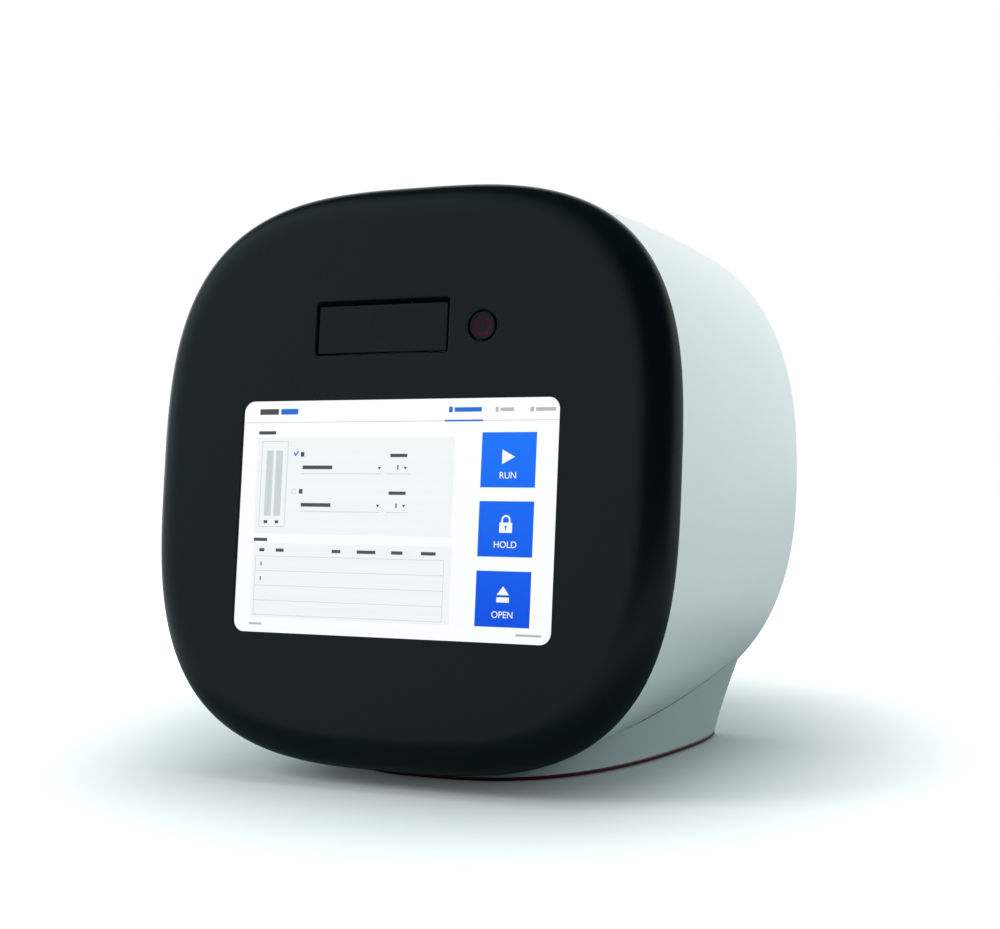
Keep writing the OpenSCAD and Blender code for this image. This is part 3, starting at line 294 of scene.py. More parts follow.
# rectangle with round corners: four quarter turns about the corner centres, one row per entry of grow
def roundedRectangle(width, height, radius, grow, perCorner=9, least=0.05):
    grow = np.atleast_1d(np.asarray(grow, dtype=float))[:, None]
    quarter = np.linspace(0, np.pi / 2, perCorner)
    turn = np.concatenate([quarter + k * np.pi / 2 for k in range(4)])[None, :]
    sideX = np.repeat([1, -1, -1, 1], perCorner)[None, :]
    sideY = np.repeat([1, 1, -1, -1], perCorner)[None, :]
    corner = np.maximum(radius + grow, least)
    return (sideX * (width / 2 + grow - corner) + corner * np.cos(turn),
            sideY * (height / 2 + grow - corner) + corner * np.sin(turn))


# flat sheet inside the first loop and outside the others, as triangles
def flatSheet(loops):
    starts = np.cumsum([0] + [len(loop) for loop in loops])
    outlines = [list(range(a, b)) for a, b in zip(starts, starts[1:])]
    points = [Vector(p) for p in np.concatenate(loops).tolist()]
    kind, nearness = 1, 1e-6  # kind 1 keeps the triangles inside an outline
    corners, _, faces, _, _, owners = delaunay_2d_cdt(points, [], outlines, kind, nearness)
    inside = [list(face) for face, own in zip(faces, owners) if list(own) == [0]]
    return np.array([tuple(corner) for corner in corners]), inside


# plate with holes: the rim's rings and each hole's rings as grids, closed by a flat sheet before and behind
def plateParts(rim, holes, place):
    loops = [rim] + holes
    parts = [(place(x, up, depth), gridFaces(*x.shape)) for x, up, depth in loops]
    for ring in (0, -1):
        corners, faces = flatSheet([np.stack((x[ring], up[ring]), axis=-1) for x, up, _ in loops])
        parts.append((place(corners[:, 0], corners[:, 1], rim[2][ring, 0]), faces))
    return parts


# front: a flat squircle face that rolls over a quarter ellipse into the sides, leaning back
frontForm = dict(width=299.0, height=299.2, square=3.1, tilt=5.4, edgeWidth=18.5, edgeDepth=17.0, wall=3.0,
                 lift=8.8, columns=320, rings=26, inside=0.1, support=1.2, rimRound=(0.0, 0.12, 0.4))
bodyForm = dict(depth=263.5, rearWidth=253.0, rearLess=11.6, rearSquare=2.45, rearLift=16.8, swell=1.39,
                seamStep=0.7, wall=3.0, rimRadius=4.0, rimFlat=2.0, rimSoft=(0.5, 0.15), panelInset=4.5,
                panelThick=3.0, lipWidth=6.0, lipThick=4.0, columns=320, rings=49, rimRings=9, innerRings=33)
windowForm = dict(width=183.0, height=120.0, radius=6.0, drop=22.3, glassFront=1.2, lap=4.2, edge=0.5)
slotForm = dict(width=77.0, height=27.7, radius=1.5, left=10.3, up=74.9, edge=1.1, lip=0.1, topStep=1.6,
                stepDepth=2.8, cornerSteps=7)
buttonForm = dict(hole=16.0, right=47.5, up=73.8, edge=0.5, columns=96)

doorCentre = (-slotForm["left"], slotForm["up"] - slotForm["topStep"] / 2)
tilt = math.radians(frontForm["tilt"])
flatWidth = frontForm["width"] / 2 - frontForm["edgeWidth"]
flatHeight = frontForm["height"] / 2 - frontForm["edgeWidth"]
cadTurns = np.radians([0, 16, 33, 51, 70, 90])  # the flat steps in which the CAD rounds its edge
frontReach = np.max((flatHeight + frontForm["edgeWidth"] * np.sin(cadTurns)) * math.sin(tilt)
                    - frontForm["edgeDepth"] * (1 - np.cos(cadTurns)) * math.cos(tilt))
faceY = (frontReach - bodyForm["depth"]) / 2
faceZ = (frontForm["lift"] + frontForm["height"] / 2 * math.cos(tilt)
         + frontForm["edgeDepth"] * math.sin(tilt))


# face coordinates (right, up the face, behind the face) to the shared frame
def onFace(x, up, depth):
    x, up, depth = np.broadcast_arrays(x, up, depth)
    return np.stack((x, faceY + up * math.sin(tilt) + depth * math.cos(tilt),
                     faceZ + up * math.cos(tilt) - depth * math.sin(tilt)), axis=-1)


# sides of a hole: rings of one outline, each at its own growth and depth; slant moves them up with depth
def holeRings(outline, profile, centre, slant=0.0):
    grow, depth = np.array(profile).T
    x, up = outline(grow)
    return x + centre[0], up + centre[1] + slant * depth[:, None], np.broadcast_to(depth[:, None], x.shape)


# the window, a rounded rectangle that is wider by each growth
def windowOutline(grow):
    return roundedRectangle(windowForm["width"], windowForm["height"], windowForm["radius"], grow)


# the tray's opening, a rounded rectangle whose top is lowered by the step
def slotOutline(grow, step=0.0):
    return roundedRectangle(slotForm["width"], slotForm["height"] - step, slotForm["radius"], grow,
                            slotForm["cornerSteps"])


# the part of the opening that the door fills, under its step
def doorOutline(grow):
    return slotOutline(grow, slotForm["topStep"])


# the button's hole, a circle
def buttonOutline(grow):
    return circle(buttonForm["hole"] / 2 + grow, buttonForm["columns"])


# quarter round between a face and the wall of a hole: (growth, depth) pairs from the face inwards,
# after one more ring on the face that keeps it flat
def roundEdge(radius, steps=6, support=2.2):
    turn = np.linspace(0, np.pi / 2, steps)
    return [(radius * support, 0.0)] + list(zip(radius * (1 - np.sin(turn)), radius * (1 - np.cos(turn))))


# rings of the front: a quarter ellipse outside, a rounded rim, and a smaller quarter ellipse inside
def buildFront():
    form = frontForm
    wall = form["wall"]
    turn = np.linspace(0, np.pi / 2, form["rings"])
    outGrow = form["edgeWidth"] * np.sin(turn)
    outDepth = form["edgeDepth"] * (1 - np.cos(turn))
    inGrow = (form["edgeWidth"] - wall) * np.sin(turn[::-1])
    inDepth = wall + (form["edgeDepth"] - wall) * (1 - np.cos(turn[::-1]))
    rimRound = np.array(form["rimRound"])
    grow = np.concatenate(([-form["support"]], outGrow[:-1], form["edgeWidth"] - rimRound, inGrow))
    depth = np.concatenate(([0.0], outDepth[:-1], form["edgeDepth"] - rimRound[::-1], inDepth))
    grow = grow[:, None] - form["inside"]
    x, up = squircle(flatWidth + grow, flatHeight + grow, form["square"], form["columns"])
    glass, lap = windowForm["glassFront"], windowForm["lap"]
    windowProfile = roundEdge(windowForm["edge"]) + [(0, glass), (lap, glass), (lap, wall)]
    slotProfile = roundEdge(slotForm["edge"]) + [(0, slotForm["edge"] + slotForm["lip"])]
    stepProfile = [(0, slotForm["stepDepth"]), (0, wall)]
    slotRings = holeRings(slotOutline, slotProfile, (-slotForm["left"], slotForm["up"]), math.tan(tilt))
    stepRings = holeRings(doorOutline, stepProfile, doorCentre, math.tan(tilt))
    buttonProfile = roundEdge(buttonForm["edge"]) + [(0, wall)]
    holes = [holeRings(windowOutline, windowProfile, (0, -windowForm["drop"])),
             tuple(np.concatenate(pair) for pair in zip(slotRings, stepRings)),
             holeRings(buttonOutline, buttonProfile, (buttonForm["right"], buttonForm["up"]))]
    rim = (x, up, np.broadcast_to(depth[:, None], x.shape))

    # the smooth rounding bulges over the CAD's flat steps, so the whole face is set back by a tenth
    def setBack(x, up, depth):
        return onFace(x, up, depth + form["inside"] * (1 - depth / form["edgeDepth"]))

    makePiece("frontFascia", plateParts(rim, holes, setBack), "housing", "black_abs", ("front_fascia",))


buildFront()
print("front done")

# body: superellipse rings that change from the front's outline to the back's
rearY = faceY + bodyForm["depth"]
rearHeight = frontForm["height"] - bodyForm["rearLess"]
rearZ = bodyForm["rearLift"] + rearHeight / 2
seamY = faceY + frontForm["edgeDepth"] * math.cos(tilt)
seamZ = faceZ - frontForm["edgeDepth"] * math.sin(tilt)
loftEnd = rearY - bodyForm["rimRadius"]


# half width, half height, squareness, centre and lean of the body at each share from the seam to the back
def bodySection(share):
    swell = 4 * bodyForm["swell"] * share * (1 - share)
    step = bodyForm["seamStep"]
    halfWidth = (frontForm["width"] / 2 - step) * (1 - share) + bodyForm["rearWidth"] / 2 * share
    halfHeight = (frontForm["height"] / 2 - step) * (1 - share) + rearHeight / 2 * share
    square = frontForm["square"] * (1 - share) + bodyForm["rearSquare"] * share
    return (halfWidth + swell, halfHeight + swell, square, seamY + (loftEnd - seamY) * share,
            seamZ + (rearZ - seamZ) * share, tilt * (1 - share))


# rings as (share, inset, push back): outside, quarter round rim, recess and seat of the panel, inside
def buildBody():
    form = bodyForm
    turn = np.linspace(0, np.pi / 2, form["rimRings"] + 1)[1:]
    recess = form["rimRadius"] + form["rimFlat"]
    seat = form["rimRadius"] - form["panelInset"] - form["panelThick"]
    lipIn = recess + form["lipWidth"]
    lipFront = seat - form["lipThick"]
    outer = [(s, 0.0, 0.0) for s in np.linspace(0, 1, form["rings"])]
    radius = form["rimRadius"]
    rim = list(zip(np.ones_like(turn), radius * (1 - np.cos(turn)), radius * np.sin(turn)))
    far, near = form["rimSoft"]
    back = [(1, recess - far, radius), (1, recess - near, radius - near), (1, recess, radius - far),
            (1, recess, seat), (1, lipIn, seat), (1, lipIn, lipFront)]
    innerEnd = 1 + lipFront / (loftEnd - seamY)
    inner = [(s, form["wall"], 0.0) for s in np.linspace(innerEnd, 0, form["innerRings"])]
    share, inset, push = (column[:, None] for column in np.array(outer + rim + back + inner).T)
    halfWidth, halfHeight, square, middleY, middleZ, lean = bodySection(share)
    x, up = squircle(halfWidth - inset, halfHeight - inset, square, form["columns"])
    points = np.stack((x, middleY + push + up * np.sin(lean), middleZ + up * np.cos(lean)), axis=-1)
    makePiece("bodyShell", [(points, gridFaces(len(share), form["columns"], True))],
              "housing", "white_abs", ("body_shell",))


buildBody()
print("body done")

# base: an outline with a superellipse front and a flat back, which flares upwards until it meets the body
baseForm = dict(width=164.6, front=39.0, waist=203.0, square=2.75, flare=16.0, flareHeight=46.0, power=1.15,
                foot=2.4, backHalf=138.0, corner=5.0, seam=0.45, middle=150.0, highest=110.0,
                footRound=(0.5, 0.15), footShares=(0.0, 0.006, 0.02), riseFrom=0.05, riseRings=30,
                topShares=(0.993, 0.96, 0.85, 0.7, 0.5, 0.25, 0.0), trimFoot=0.6, trimEdge=0.4, trimRings=5,
                frontSteps=72, sideSteps=18, cornerSteps=8, backSteps=6)


# half outline from the front middle to the back middle, one row per growth: a superellipse quarter up to the
# waist, part of an ellipse behind it, an arc that goes on from the ellipse's slope, and a straight back
def baseHalf(grow):
    form = baseForm

    def along(steps):
        return np.linspace(0, 1, form[steps] + 1)

    grow = np.asarray(grow, dtype=float)
    wide = form["width"] / 2 + grow
    reach = form["waist"] - form["front"] + grow
    frontX, ahead = superPoint(wide, reach, form["square"], np.pi / 2 * (1 - along("frontSteps")))
    run = bodyForm["depth"] - form["waist"] - form["corner"]
    slope = np.arctan(wide * run / form["backHalf"] ** 2 / math.sqrt(1 - (run / form["backHalf"]) ** 2))
    stop = run + form["corner"] * np.sin(slope)
    step = along("sideSteps")[1:] * stop
    sideX = wide * np.sqrt(1 - (step / form["backHalf"]) ** 2)
    centreX = sideX[..., -1:] - form["corner"] * np.cos(slope)
    bend = slope + (np.pi / 2 - slope) * along("cornerSteps")[1:]
    cornerX = centreX + form["corner"] * np.cos(bend)
    cornerY = form["waist"] + run + form["corner"] * np.sin(bend)
    backX = centreX * (1 - along("backSteps")[1:])
    backY = np.full_like(backX, bodyForm["depth"])
    return (np.concatenate((frontX, sideX, cornerX, backX), axis=-1),
            np.concatenate((form["waist"] - ahead, form["waist"] + step, cornerY, backY), axis=-1) + faceY)


# whole outline: the right half from front to back, then the left half from back to front
def baseOutline(grow):
    x, y = baseHalf(grow)
    return np.concatenate((x, -x[..., -2:0:-1]), axis=-1), np.concatenate((y, y[..., -2:0:-1]), axis=-1)


# flare: the growth rises with a power of the height over the foot
def baseGrow(z):
    lift = np.maximum(z - baseForm["foot"], 0) / (baseForm["flareHeight"] - baseForm["foot"])
    return baseForm["flare"] * lift ** baseForm["power"]


# true where a point lies inside the outside of the body: its share is found by going round a few times
def insideBody(x, y, z, rounds=6):
    share = np.clip((y - seamY) / (loftEnd - seamY), 0, 1)
    for _ in range(rounds):
        halfWidth, halfHeight, square, middleY, middleZ, lean = bodySection(share)
        up = (z - middleZ) / np.cos(lean)
        share = np.clip((y - up * np.sin(lean) - seamY) / (loftEnd - seamY), 0, 1)
    return (np.abs(x / halfWidth) ** square + np.abs(up / halfHeight) ** square) < 1


# height at which a moving point enters the body, by halving the range
def entryHeight(place, count, halvings=40):
    low = np.full(count, baseForm["foot"])
    high = np.full(count, baseForm["highest"])
    for _ in range(halvings):
        middle = (low + high) / 2
        inside = insideBody(*place(middle), middle)
        high = np.where(inside, middle, high)
        low = np.where(inside, low, middle)
    return (low + high) / 2


# base: rings that rise along the flare to the body, then shrink to a point just under the body's belly;
# strip: the same outline at the foot, with quarter rounds above and below
def buildBase():
    form = baseForm
    count = len(baseOutline(np.zeros(1))[0])
    column = np.arange(count)

    # each column's point of the outline at its own height
    def rising(z):
        x, y = baseOutline(baseGrow(z)[:, None])
        return x[column, column], y[column, column]

    top = entryHeight(rising, count) - form["seam"]
    share = np.concatenate((form["footShares"], np.linspace(form["riseFrom"], 1, form["riseRings"])))
    heights = form["foot"] + (top - form["foot"])[None, :] * share[:, None]
    inset = np.zeros(len(share))
    inset[:2] = form["footRound"]
    rows = []
    for height, less in zip(heights, inset):
        x, y = baseOutline((baseGrow(height) - less)[:, None])
        rows.append(np.stack((x[column, column], y[column, column], height), axis=-1))
    rim = rows[-1]
    middle = np.array([0.0, faceY + form["middle"]])
    for shrink in form["topShares"]:
        flat = middle + (rim[:, :2] - middle) * shrink
        z = entryHeight(lambda _: (flat[:, 0], flat[:, 1]), count) - form["seam"]
        rows.append(np.column_stack((flat, z)))
    foot = rows[0]
    under = [np.column_stack((middle + (foot[:, :2] - middle) * k, foot[:, 2])) for k in (0.0, 0.5)]
    points = np.array(under + rows)
    makePiece("basePedestal", [(points, gridFaces(len(points), count))],
              "housing", "grey_abs", ("base_pedestal",))

    edge = form["trimEdge"]
    turn = np.linspace(0, np.pi / 2, form["trimRings"])
    grow = np.concatenate((edge * np.sin(turn) - edge, edge * np.cos(turn) - edge))
    z = np.concatenate((form["trimFoot"] + edge * (1 - np.cos(turn)),
                        form["foot"] - edge * (1 - np.sin(turn))))
    x, y = baseOutline(grow[:, None])
    skin = np.stack((x, y, np.broadcast_to(z[:, None], x.shape)), axis=-1)
    pole = np.broadcast_to(np.append(middle, 0.0), (1,) + skin.shape[1:])
    points = np.concatenate((pole + [0, 0, z[0]], skin, pole + [0, 0, z[-1]]))
    makePiece("baseTrim", [(points, gridFaces(len(points), count))],
              "housing", "burgundy_abs", ("base_trim",))


buildBase()
print("base done")

# back panel: a plate with openings for the fan, the air, the ports and the switch
panelForm = dict(gap=0.2, edge=0.5, support=2.5, backLoop=0.01, holeEdge=0.35, columns=240,
                 slotRadius=1.3, slotHigh=3.2, slotPitch=6.4, fanAt=(46.0, 208.6), fanReach=28.0, fanRows=4,
                 ventAt=(-46.0, 208.6), ventWidth=56.0, ventRows=7, portRadius=0.5,
                 usbAt=(18.0, 61.4), usbSize=(14.0, 16.4), netAt=(44.0, 60.35), netSize=(16.8, 14.3),
                 switchAt=(-56.0, 77.6), switchSize=(13.0, 19.6), jackAt=(-28.0, 65.6), jackHole=11.2,
                 edgeRings=6, holeRings=5, cornerSteps=5, jackColumns=64)
panelOut = rearY - bodyForm["panelInset"]


# panel coordinates (right, up, inwards from its outside) to the shared frame
def onBack(x, up, depth):
    x, up, depth = np.broadcast_arrays(x, up, depth)
    return np.stack((x, panelOut - depth, up), axis=-1)


# the panel's rim has a quarter round; its holes are rounded rectangles, and a circle for the jack
def buildPanel():
    form = panelForm
    thick = bodyForm["panelThick"]
    edge = form["edge"]
    turn = np.linspace(0, np.pi / 2, form["edgeRings"])
    grow = np.concatenate(([-form["support"] * edge], edge * np.sin(turn) - edge, [0, 0]))
    depth = np.concatenate(([0], edge * (1 - np.cos(turn)), [thick - form["backLoop"], thick]))
    inset = bodyForm["rimRadius"] + bodyForm["rimFlat"] + form["gap"]
    wider = grow[:, None] - inset
    x, up = squircle(bodyForm["rearWidth"] / 2 + wider, rearHeight / 2 + wider, bodyForm["rearSquare"],
                     form["columns"])
    rim = (x, up + rearZ, np.broadcast_to(depth[:, None], x.shape))
    profile = roundEdge(form["holeEdge"], form["holeRings"]) + [(0, thick)]
    openings = [(form["usbAt"], form["usbSize"], form["portRadius"]),
                (form["netAt"], form["netSize"], form["portRadius"]),
                (form["switchAt"], form["switchSize"], form["portRadius"])]
    for row in range(form["ventRows"]):
        rise = (row - (form["ventRows"] - 1) / 2) * form["slotPitch"]
        at = (form["ventAt"][0], form["ventAt"][1] + rise)
        openings.append((at, (form["ventWidth"], form["slotHigh"]), form["slotRadius"]))
    # the slots before the fan are chords of its circle
    for row in range(-form["fanRows"], form["fanRows"] + 1):
        rise = row * form["slotPitch"]
        at = (form["fanAt"][0], form["fanAt"][1] + rise)
        width = 2 * math.sqrt(form["fanReach"] ** 2 - rise ** 2)
        openings.append((at, (width, form["slotHigh"]), form["slotRadius"]))
    holes = []
    for at, (width, height), radius in openings:
        holes.append(holeRings(lambda g: roundedRectangle(width, height, radius, g, form["cornerSteps"]),
                               profile, at))
    jackRadius = form["jackHole"] / 2
    holes.append(holeRings(lambda g: circle(jackRadius + g, form["jackColumns"]), profile, form["jackAt"]))
    makePiece("backPanel", plateParts(rim, holes, onBack), "housing", "grey_abs", ("rear_panel",))


# screw heads: a dome that falls with the square of the radius, less a cross of two smooth-edged arms
screwForm = dict(panelRadius=2.3, panelHigh=1.6, panelAngles=(30, 90, 150, 210, 270, 330), fanRadius=3.25,
                 fanHigh=2.0, fanPitch=50.0, columns=72, rings=30, crown=0.93, fall=0.42,
                 shoulder=((0.97, 0.52), (0.99, 0.44), (1.0, 0.34), (1.0, 0.0)),
                 armWidth=0.17, armLength=0.62, deep=0.55, sideBlend=0.06, endBlend=0.12, sharp=40)


# rise of the head at each radius and turn, in shares of its height
def screwHeads(centres, radius, high):
    form = screwForm
    columns = form["columns"]
    turn = np.linspace(0, 2 * np.pi, columns, endpoint=False)
    crown = np.linspace(0, form["crown"], form["rings"])
    edgeShare, edgeRise = np.array(form["shoulder"]).T
    share = np.concatenate((crown, edgeShare))[:, None]
    dome = np.concatenate((1 - form["fall"] * (crown / form["crown"]) ** 2, edgeRise))[:, None]
    x, up = share * np.cos(turn), share * np.sin(turn)

    # 1 inside the arm's width and length, falling to 0 across a narrow blend
    def arm(across, along):
        side = np.clip((form["armWidth"] - np.abs(across)) / form["sideBlend"] + 0.5, 0, 1)
        return side * np.clip((form["armLength"] - np.abs(along)) / form["endBlend"] + 0.5, 0, 1)

    rise = (dome - form["deep"] * np.maximum(arm(x, up), arm(up, x))) * high
    rise[-1] = 0.0
    grid = gridFaces(*x.shape)
    under = [list(range((len(share) - 1) * columns, len(share) * columns))]
    return [(onBack(cx + x * radius, cz + up * radius, -rise), grid + under) for cx, cz in centres]


# six screws on the superellipse of the panel's seat, and four at the corners of the fan
def buildScrews():
    form = screwForm
    inset = bodyForm["rimRadius"] + bodyForm["rimFlat"] + bodyForm["lipWidth"] / 2
    x, up = superPoint(bodyForm["rearWidth"] / 2 - inset, rearHeight / 2 - inset, bodyForm["rearSquare"],
                       np.radians(form["panelAngles"]))
    panelPlaces = np.column_stack((x, rearZ + up))
    makePiece("panelScrews", screwHeads(panelPlaces, form["panelRadius"], form["panelHigh"]),
              "housing", "zinc_screw", ("rear_panel_screws",), sharp=form["sharp"])
    corners = np.array([(-1, -1), (1, -1), (1, 1), (-1, 1)])
    fanPlaces = corners * form["fanPitch"] / 2 + panelForm["fanAt"]
    makePiece("fanScrews", screwHeads(fanPlaces, form["fanRadius"], form["fanHigh"]),
              "housing", "zinc_screw", ("fan_screws",), sharp=form["sharp"])


# switch marks: a bar and a ring printed on the two faces of the rocker, which leans about its pin
rockerForm = dict(pin=(-56.0, rearY - 6.1, 77.6), lean=10.0, valley=2.2, slope=0.1, middle=4.2, ink=0.03,
                  bar=(0.8, 3.4), ring=(1.2, 1.8), columns=40)


# a point on the rocker's face, which rises evenly from its valley to both ends
def onRocker(x, up):
    lean = math.radians(rockerForm["lean"])
    out = rockerForm["valley"] + rockerForm["slope"] * np.abs(up) + rockerForm["ink"]
    px, py, pz = rockerForm["pin"]
    return np.stack((px + x, py + out * math.cos(lean) - up * math.sin(lean),
                     pz + out * math.sin(lean) + up * math.cos(lean)), axis=-1)


# the bar is a rectangle on the lower face, and the ring lies between two circles on the upper one
def buildMarks():
    wide, tall = rockerForm["bar"]
    x = np.array([-wide / 2, wide / 2, wide / 2, -wide / 2])
    up = np.array([-tall / 2, -tall / 2, tall / 2, tall / 2]) - rockerForm["middle"]
    ringX, ringUp = circle(rockerForm["ring"], rockerForm["columns"])
    makePiece("switchMarks", [(onRocker(x, up), [[0, 1, 2, 3]]),
                              (onRocker(ringX, ringUp + rockerForm["middle"]), gridFaces(*ringX.shape))],
              "rocker", "black_abs", finish="whiteInk")


buildPanel()
buildScrews()
buildMarks()
print("back done")

# tray door: a level block in its opening, with a rounded front edge and a face that leans with the front
doorForm = dict(gap=0.6, inset=0.8, thick=4.3, edge=0.8, edgeRings=7, support=2.0, backEdge=0.3)


# rings of the opening's outline, less the gap: a quarter round in front and a small bevel behind
def buildDoor():
    gap, inset, edge = doorForm["gap"], doorForm["inset"], doorForm["edge"]
    back = inset + doorForm["thick"]
    turn = np.linspace(0, np.pi / 2, doorForm["edgeRings"])
    front = list(zip(-gap - edge * (1 - np.sin(turn)), inset + edge * (1 - np.cos(turn))))
    rear = [(-gap, back - doorForm["backEdge"]), (-gap - doorForm["backEdge"], back)]
    profile = [(-gap - edge * doorForm["support"], inset)] + front + rear
    x, up, depth = holeRings(doorOutline, profile, doorCentre, math.tan(tilt))
    rows, columns = x.shape
    caps = [list(range(columns - 1, -1, -1)), list(range((rows - 1) * columns, rows * columns))]
    makePiece("trayDoor", [(onFace(x, up, depth), gridFaces(rows, columns) + caps)],
              "tray", "black_abs", ("tray_door",))


# power button: a turned profile of radius against depth, with a shallow dish in its face
capForm = dict(radius=7.2, dish=0.5, rim=6.2, lip=0.12, crest=0.06, crestFlat=0.25, faceRings=12, edgeRings=7,
               flange=9.0, flangeFront=3.3, flangeBack=5.0, stem=3.0, stemBack=11.0)
signForm = dict(ring=4.1, width=1.5, gap=32, barFoot=0.7, bar=4.3, inlay=0.04, ringSteps=60, barSteps=8,
                widthSteps=4)


# the dish is deepest in the middle and rises with the square of the radius
def dishDepth(radius):
    return capForm["lip"] + capForm["dish"] * (1 - np.minimum(radius / capForm["rim"], 1) ** 2)


# the profile goes from the dish over a quarter round to the flange and the stem
def buildButton():
    form = capForm
    columns = buttonForm["columns"]
    face = np.linspace(0, form["rim"], form["faceRings"])
    turn = np.linspace(0, np.pi / 2, form["edgeRings"])
    shoulder = form["radius"] - form["rim"] - form["crestFlat"]
    stem = np.array([(form["radius"], form["flangeFront"]), (form["flange"], form["flangeFront"]),
                     (form["flange"], form["flangeBack"]), (form["stem"], form["flangeBack"]),
                     (form["stem"], form["stemBack"]), (0.0, form["stemBack"])])
    radius = np.concatenate((face, form["radius"] - shoulder * (1 - np.sin(turn)), stem[:, 0]))
    depth = np.concatenate((dishDepth(face), form["crest"] + shoulder * (1 - np.cos(turn)), stem[:, 1]))
    x, up = circle(radius, columns)
    points = onFace(x + buttonForm["right"], up + buttonForm["up"], depth[:, None])
    makePiece("powerButton", [(points, gridFaces(len(radius), columns))],
              "button", "black_abs", ("power_button",))


# power sign: an open ring and a bar, laid just over the dish
def buildSign():
    form = signForm
    around = np.radians(np.linspace(90 + form["gap"], 450 - form["gap"], form["ringSteps"] + 1))
    width = np.linspace(-0.5, 0.5, form["widthSteps"] + 1) * form["width"]
    across = width[:, None] + form["ring"]
    ringX, ringUp = across * np.cos(around), across * np.sin(around)
    barX, barUp = np.meshgrid(width, np.linspace(0, form["bar"], form["barSteps"] + 1) + form["barFoot"])
    parts = []
    for x, up in ((ringX, ringUp), (barX, barUp)):
        rows, columns = x.shape
        depth = dishDepth(np.hypot(x, up)) - form["inlay"]
        closed = np.array(gridFaces(rows, columns)).reshape(rows - 1, columns, 4)
        faces = closed[:, :-1].reshape(-1, 4).tolist()  # without the quads that would close the grid
        parts.append((onFace(x + buttonForm["right"], up + buttonForm["up"], depth), faces))
    makePiece("powerSign", parts, "button", "black_abs", finish="emblemInk")


buildDoor()
buildButton()
buildSign()
print("door and button done")

# picture on the screen: flat shapes in millimetres from the window's middle; bars stand for small text
pictureForm = dict(depth=3.12, back=9.0, layer=0.015, margin=4.0, fadeFoot=55.0, fadeTop=45.0)
# single bars of each layer, as (left, right, foot, top)
pictureBars = dict(
    panels=[(-83.7, 33.5, -9.0, 41.2), (-83.2, 34.5, -52.4, -13.8)],
    lines=[(-91.5, 91.5, 48.9, 49.3), (-81.5, -81.15, -51.2, -20.8), (29.95, 30.3, -51.2, -20.8),
           (-77.7, -73.5, 0.3, 34.4), (-71.9, -67.7, 0.3, 34.4)],
    text=[(-83.2, -72.7, 42.8, 44.6), (-83.1, -74.8, -12.9, -11.2), (-83.2, -71.6, 53.2, 56.2),
          (-77.6, -75.3, -3.6, -2.0), (-70.7, -68.6, -3.6, -2.0), (1.0, 1.8, 24.6, 26.9),
          (1.0, 1.8, 5.1, 7.4), (-79.3, -76.2, -18.3, -16.6), (-69.2, -64.3, -18.3, -16.6),
          (-35.2, -30.0, -18.3, -16.6), (-20.3, -9.3, -18.3, -16.6), (-0.2, 6.4, -18.3, -16.6),
          (16.9, 25.3, -18.3, -16.6)],
    faint=[(55.3, 57.0, 53.3, 55.7), (58.0, 65.5, 53.6, 55.4), (74.4, 76.4, 53.2, 55.6),
           (77.4, 88.2, 53.5, 55.3), (71.4, 85.1, -56.4, -55.3), (-83.5, -75.7, -56.3, -55.2)],
    accent=[(-70.2, -59.6, 53.2, 56.2), (29.3, 31.4, 53.3, 56.2), (32.4, 47.7, 53.5, 55.8),
            (27.1, 48.7, 48.7, 49.6)])
# equal bars over one another, as (left, right, height, feet)
pictureRows = dict(
    lines=[(-81.5, 30.3, 0.35, (-20.8, -28.4, -36.0, -43.7, -51.2)), (-56.0, -8.2, 0.35, (22.2, 2.7)),
           (-4.5, 8.5, 0.35, (22.2, 2.7))],
    text=[(-55.3, -37.3, 1.9, (24.7, 5.3)), (-3.3, 6.6, 1.7, (30.9, 11.8)), (-56.8, -54.6, 2.4, (31.2, 12.0)),
          (-78.2, -77.5, 2.0, (-25.6, -33.2))])
# frames as (left, right, foot, top, line), a tick, and small arrows that point down
pictureSigns = dict(frames=[(-80.8, -64.6, -5.5, 39.4, 0.4), (-61.2, -58.4, 11.8, 14.5, 0.35)],
                    tick=[(-61.2, 33.0), (-60.5, 33.6), (-59.8, 32.6), (-58.5, 34.3), (-57.9, 33.8),
                          (-59.8, 31.4)],
                    arrow=[(-1.0, 0.7), (1.0, 0.7), (0.0, -0.8)], arrowX=(-9.3, 5.8), arrowUp=(25.3, 6.1))
windowMiddle = faceZ - windowForm["drop"] * math.cos(tilt)
for name, look in litLooks.items():
    materials[name] = litSheet(name, look, windowMiddle - pictureForm["fadeFoot"],
                               windowMiddle + pictureForm["fadeTop"])


# rectangle from its four sides
def bar(left, right, foot, top):
    return np.array([(left, foot), (right, foot), (right, top), (left, top)])


# frame of four bars: foot and top in full, and the sides between them
def hollow(left, right, foot, top, line):
    low, high = foot + line, top - line
    return [bar(left, right, foot, low), bar(left, right, high, top), bar(left, left + line, low, high),
            bar(right - line, right, low, high)]


# all bars of one layer: the single ones, then those of each row
def layerBars(layer):
    bars = [bar(*sides) for sides in pictureBars[layer]]
    for left, right, high, feet in pictureRows.get(layer, ()):
        bars += [bar(left, right, foot, foot + high) for foot in feet]
    return bars


# points (right, up) of the picture on the front's plane, each layer a little before the one under it
def onScreen(points, layer):
    depth = pictureForm["depth"] - layer * pictureForm["layer"]
    return onFace(points[:, 0], points[:, 1] - windowForm["drop"], depth)


# one flat piece of several outlines, all on one layer
def pictureLayer(name, outlines, finish, layer):
    parts = [(onScreen(outline, layer), [list(range(len(outline)))]) for outline in outlines]
    makePiece(name, parts, "housing", "lit_display", finish=finish)


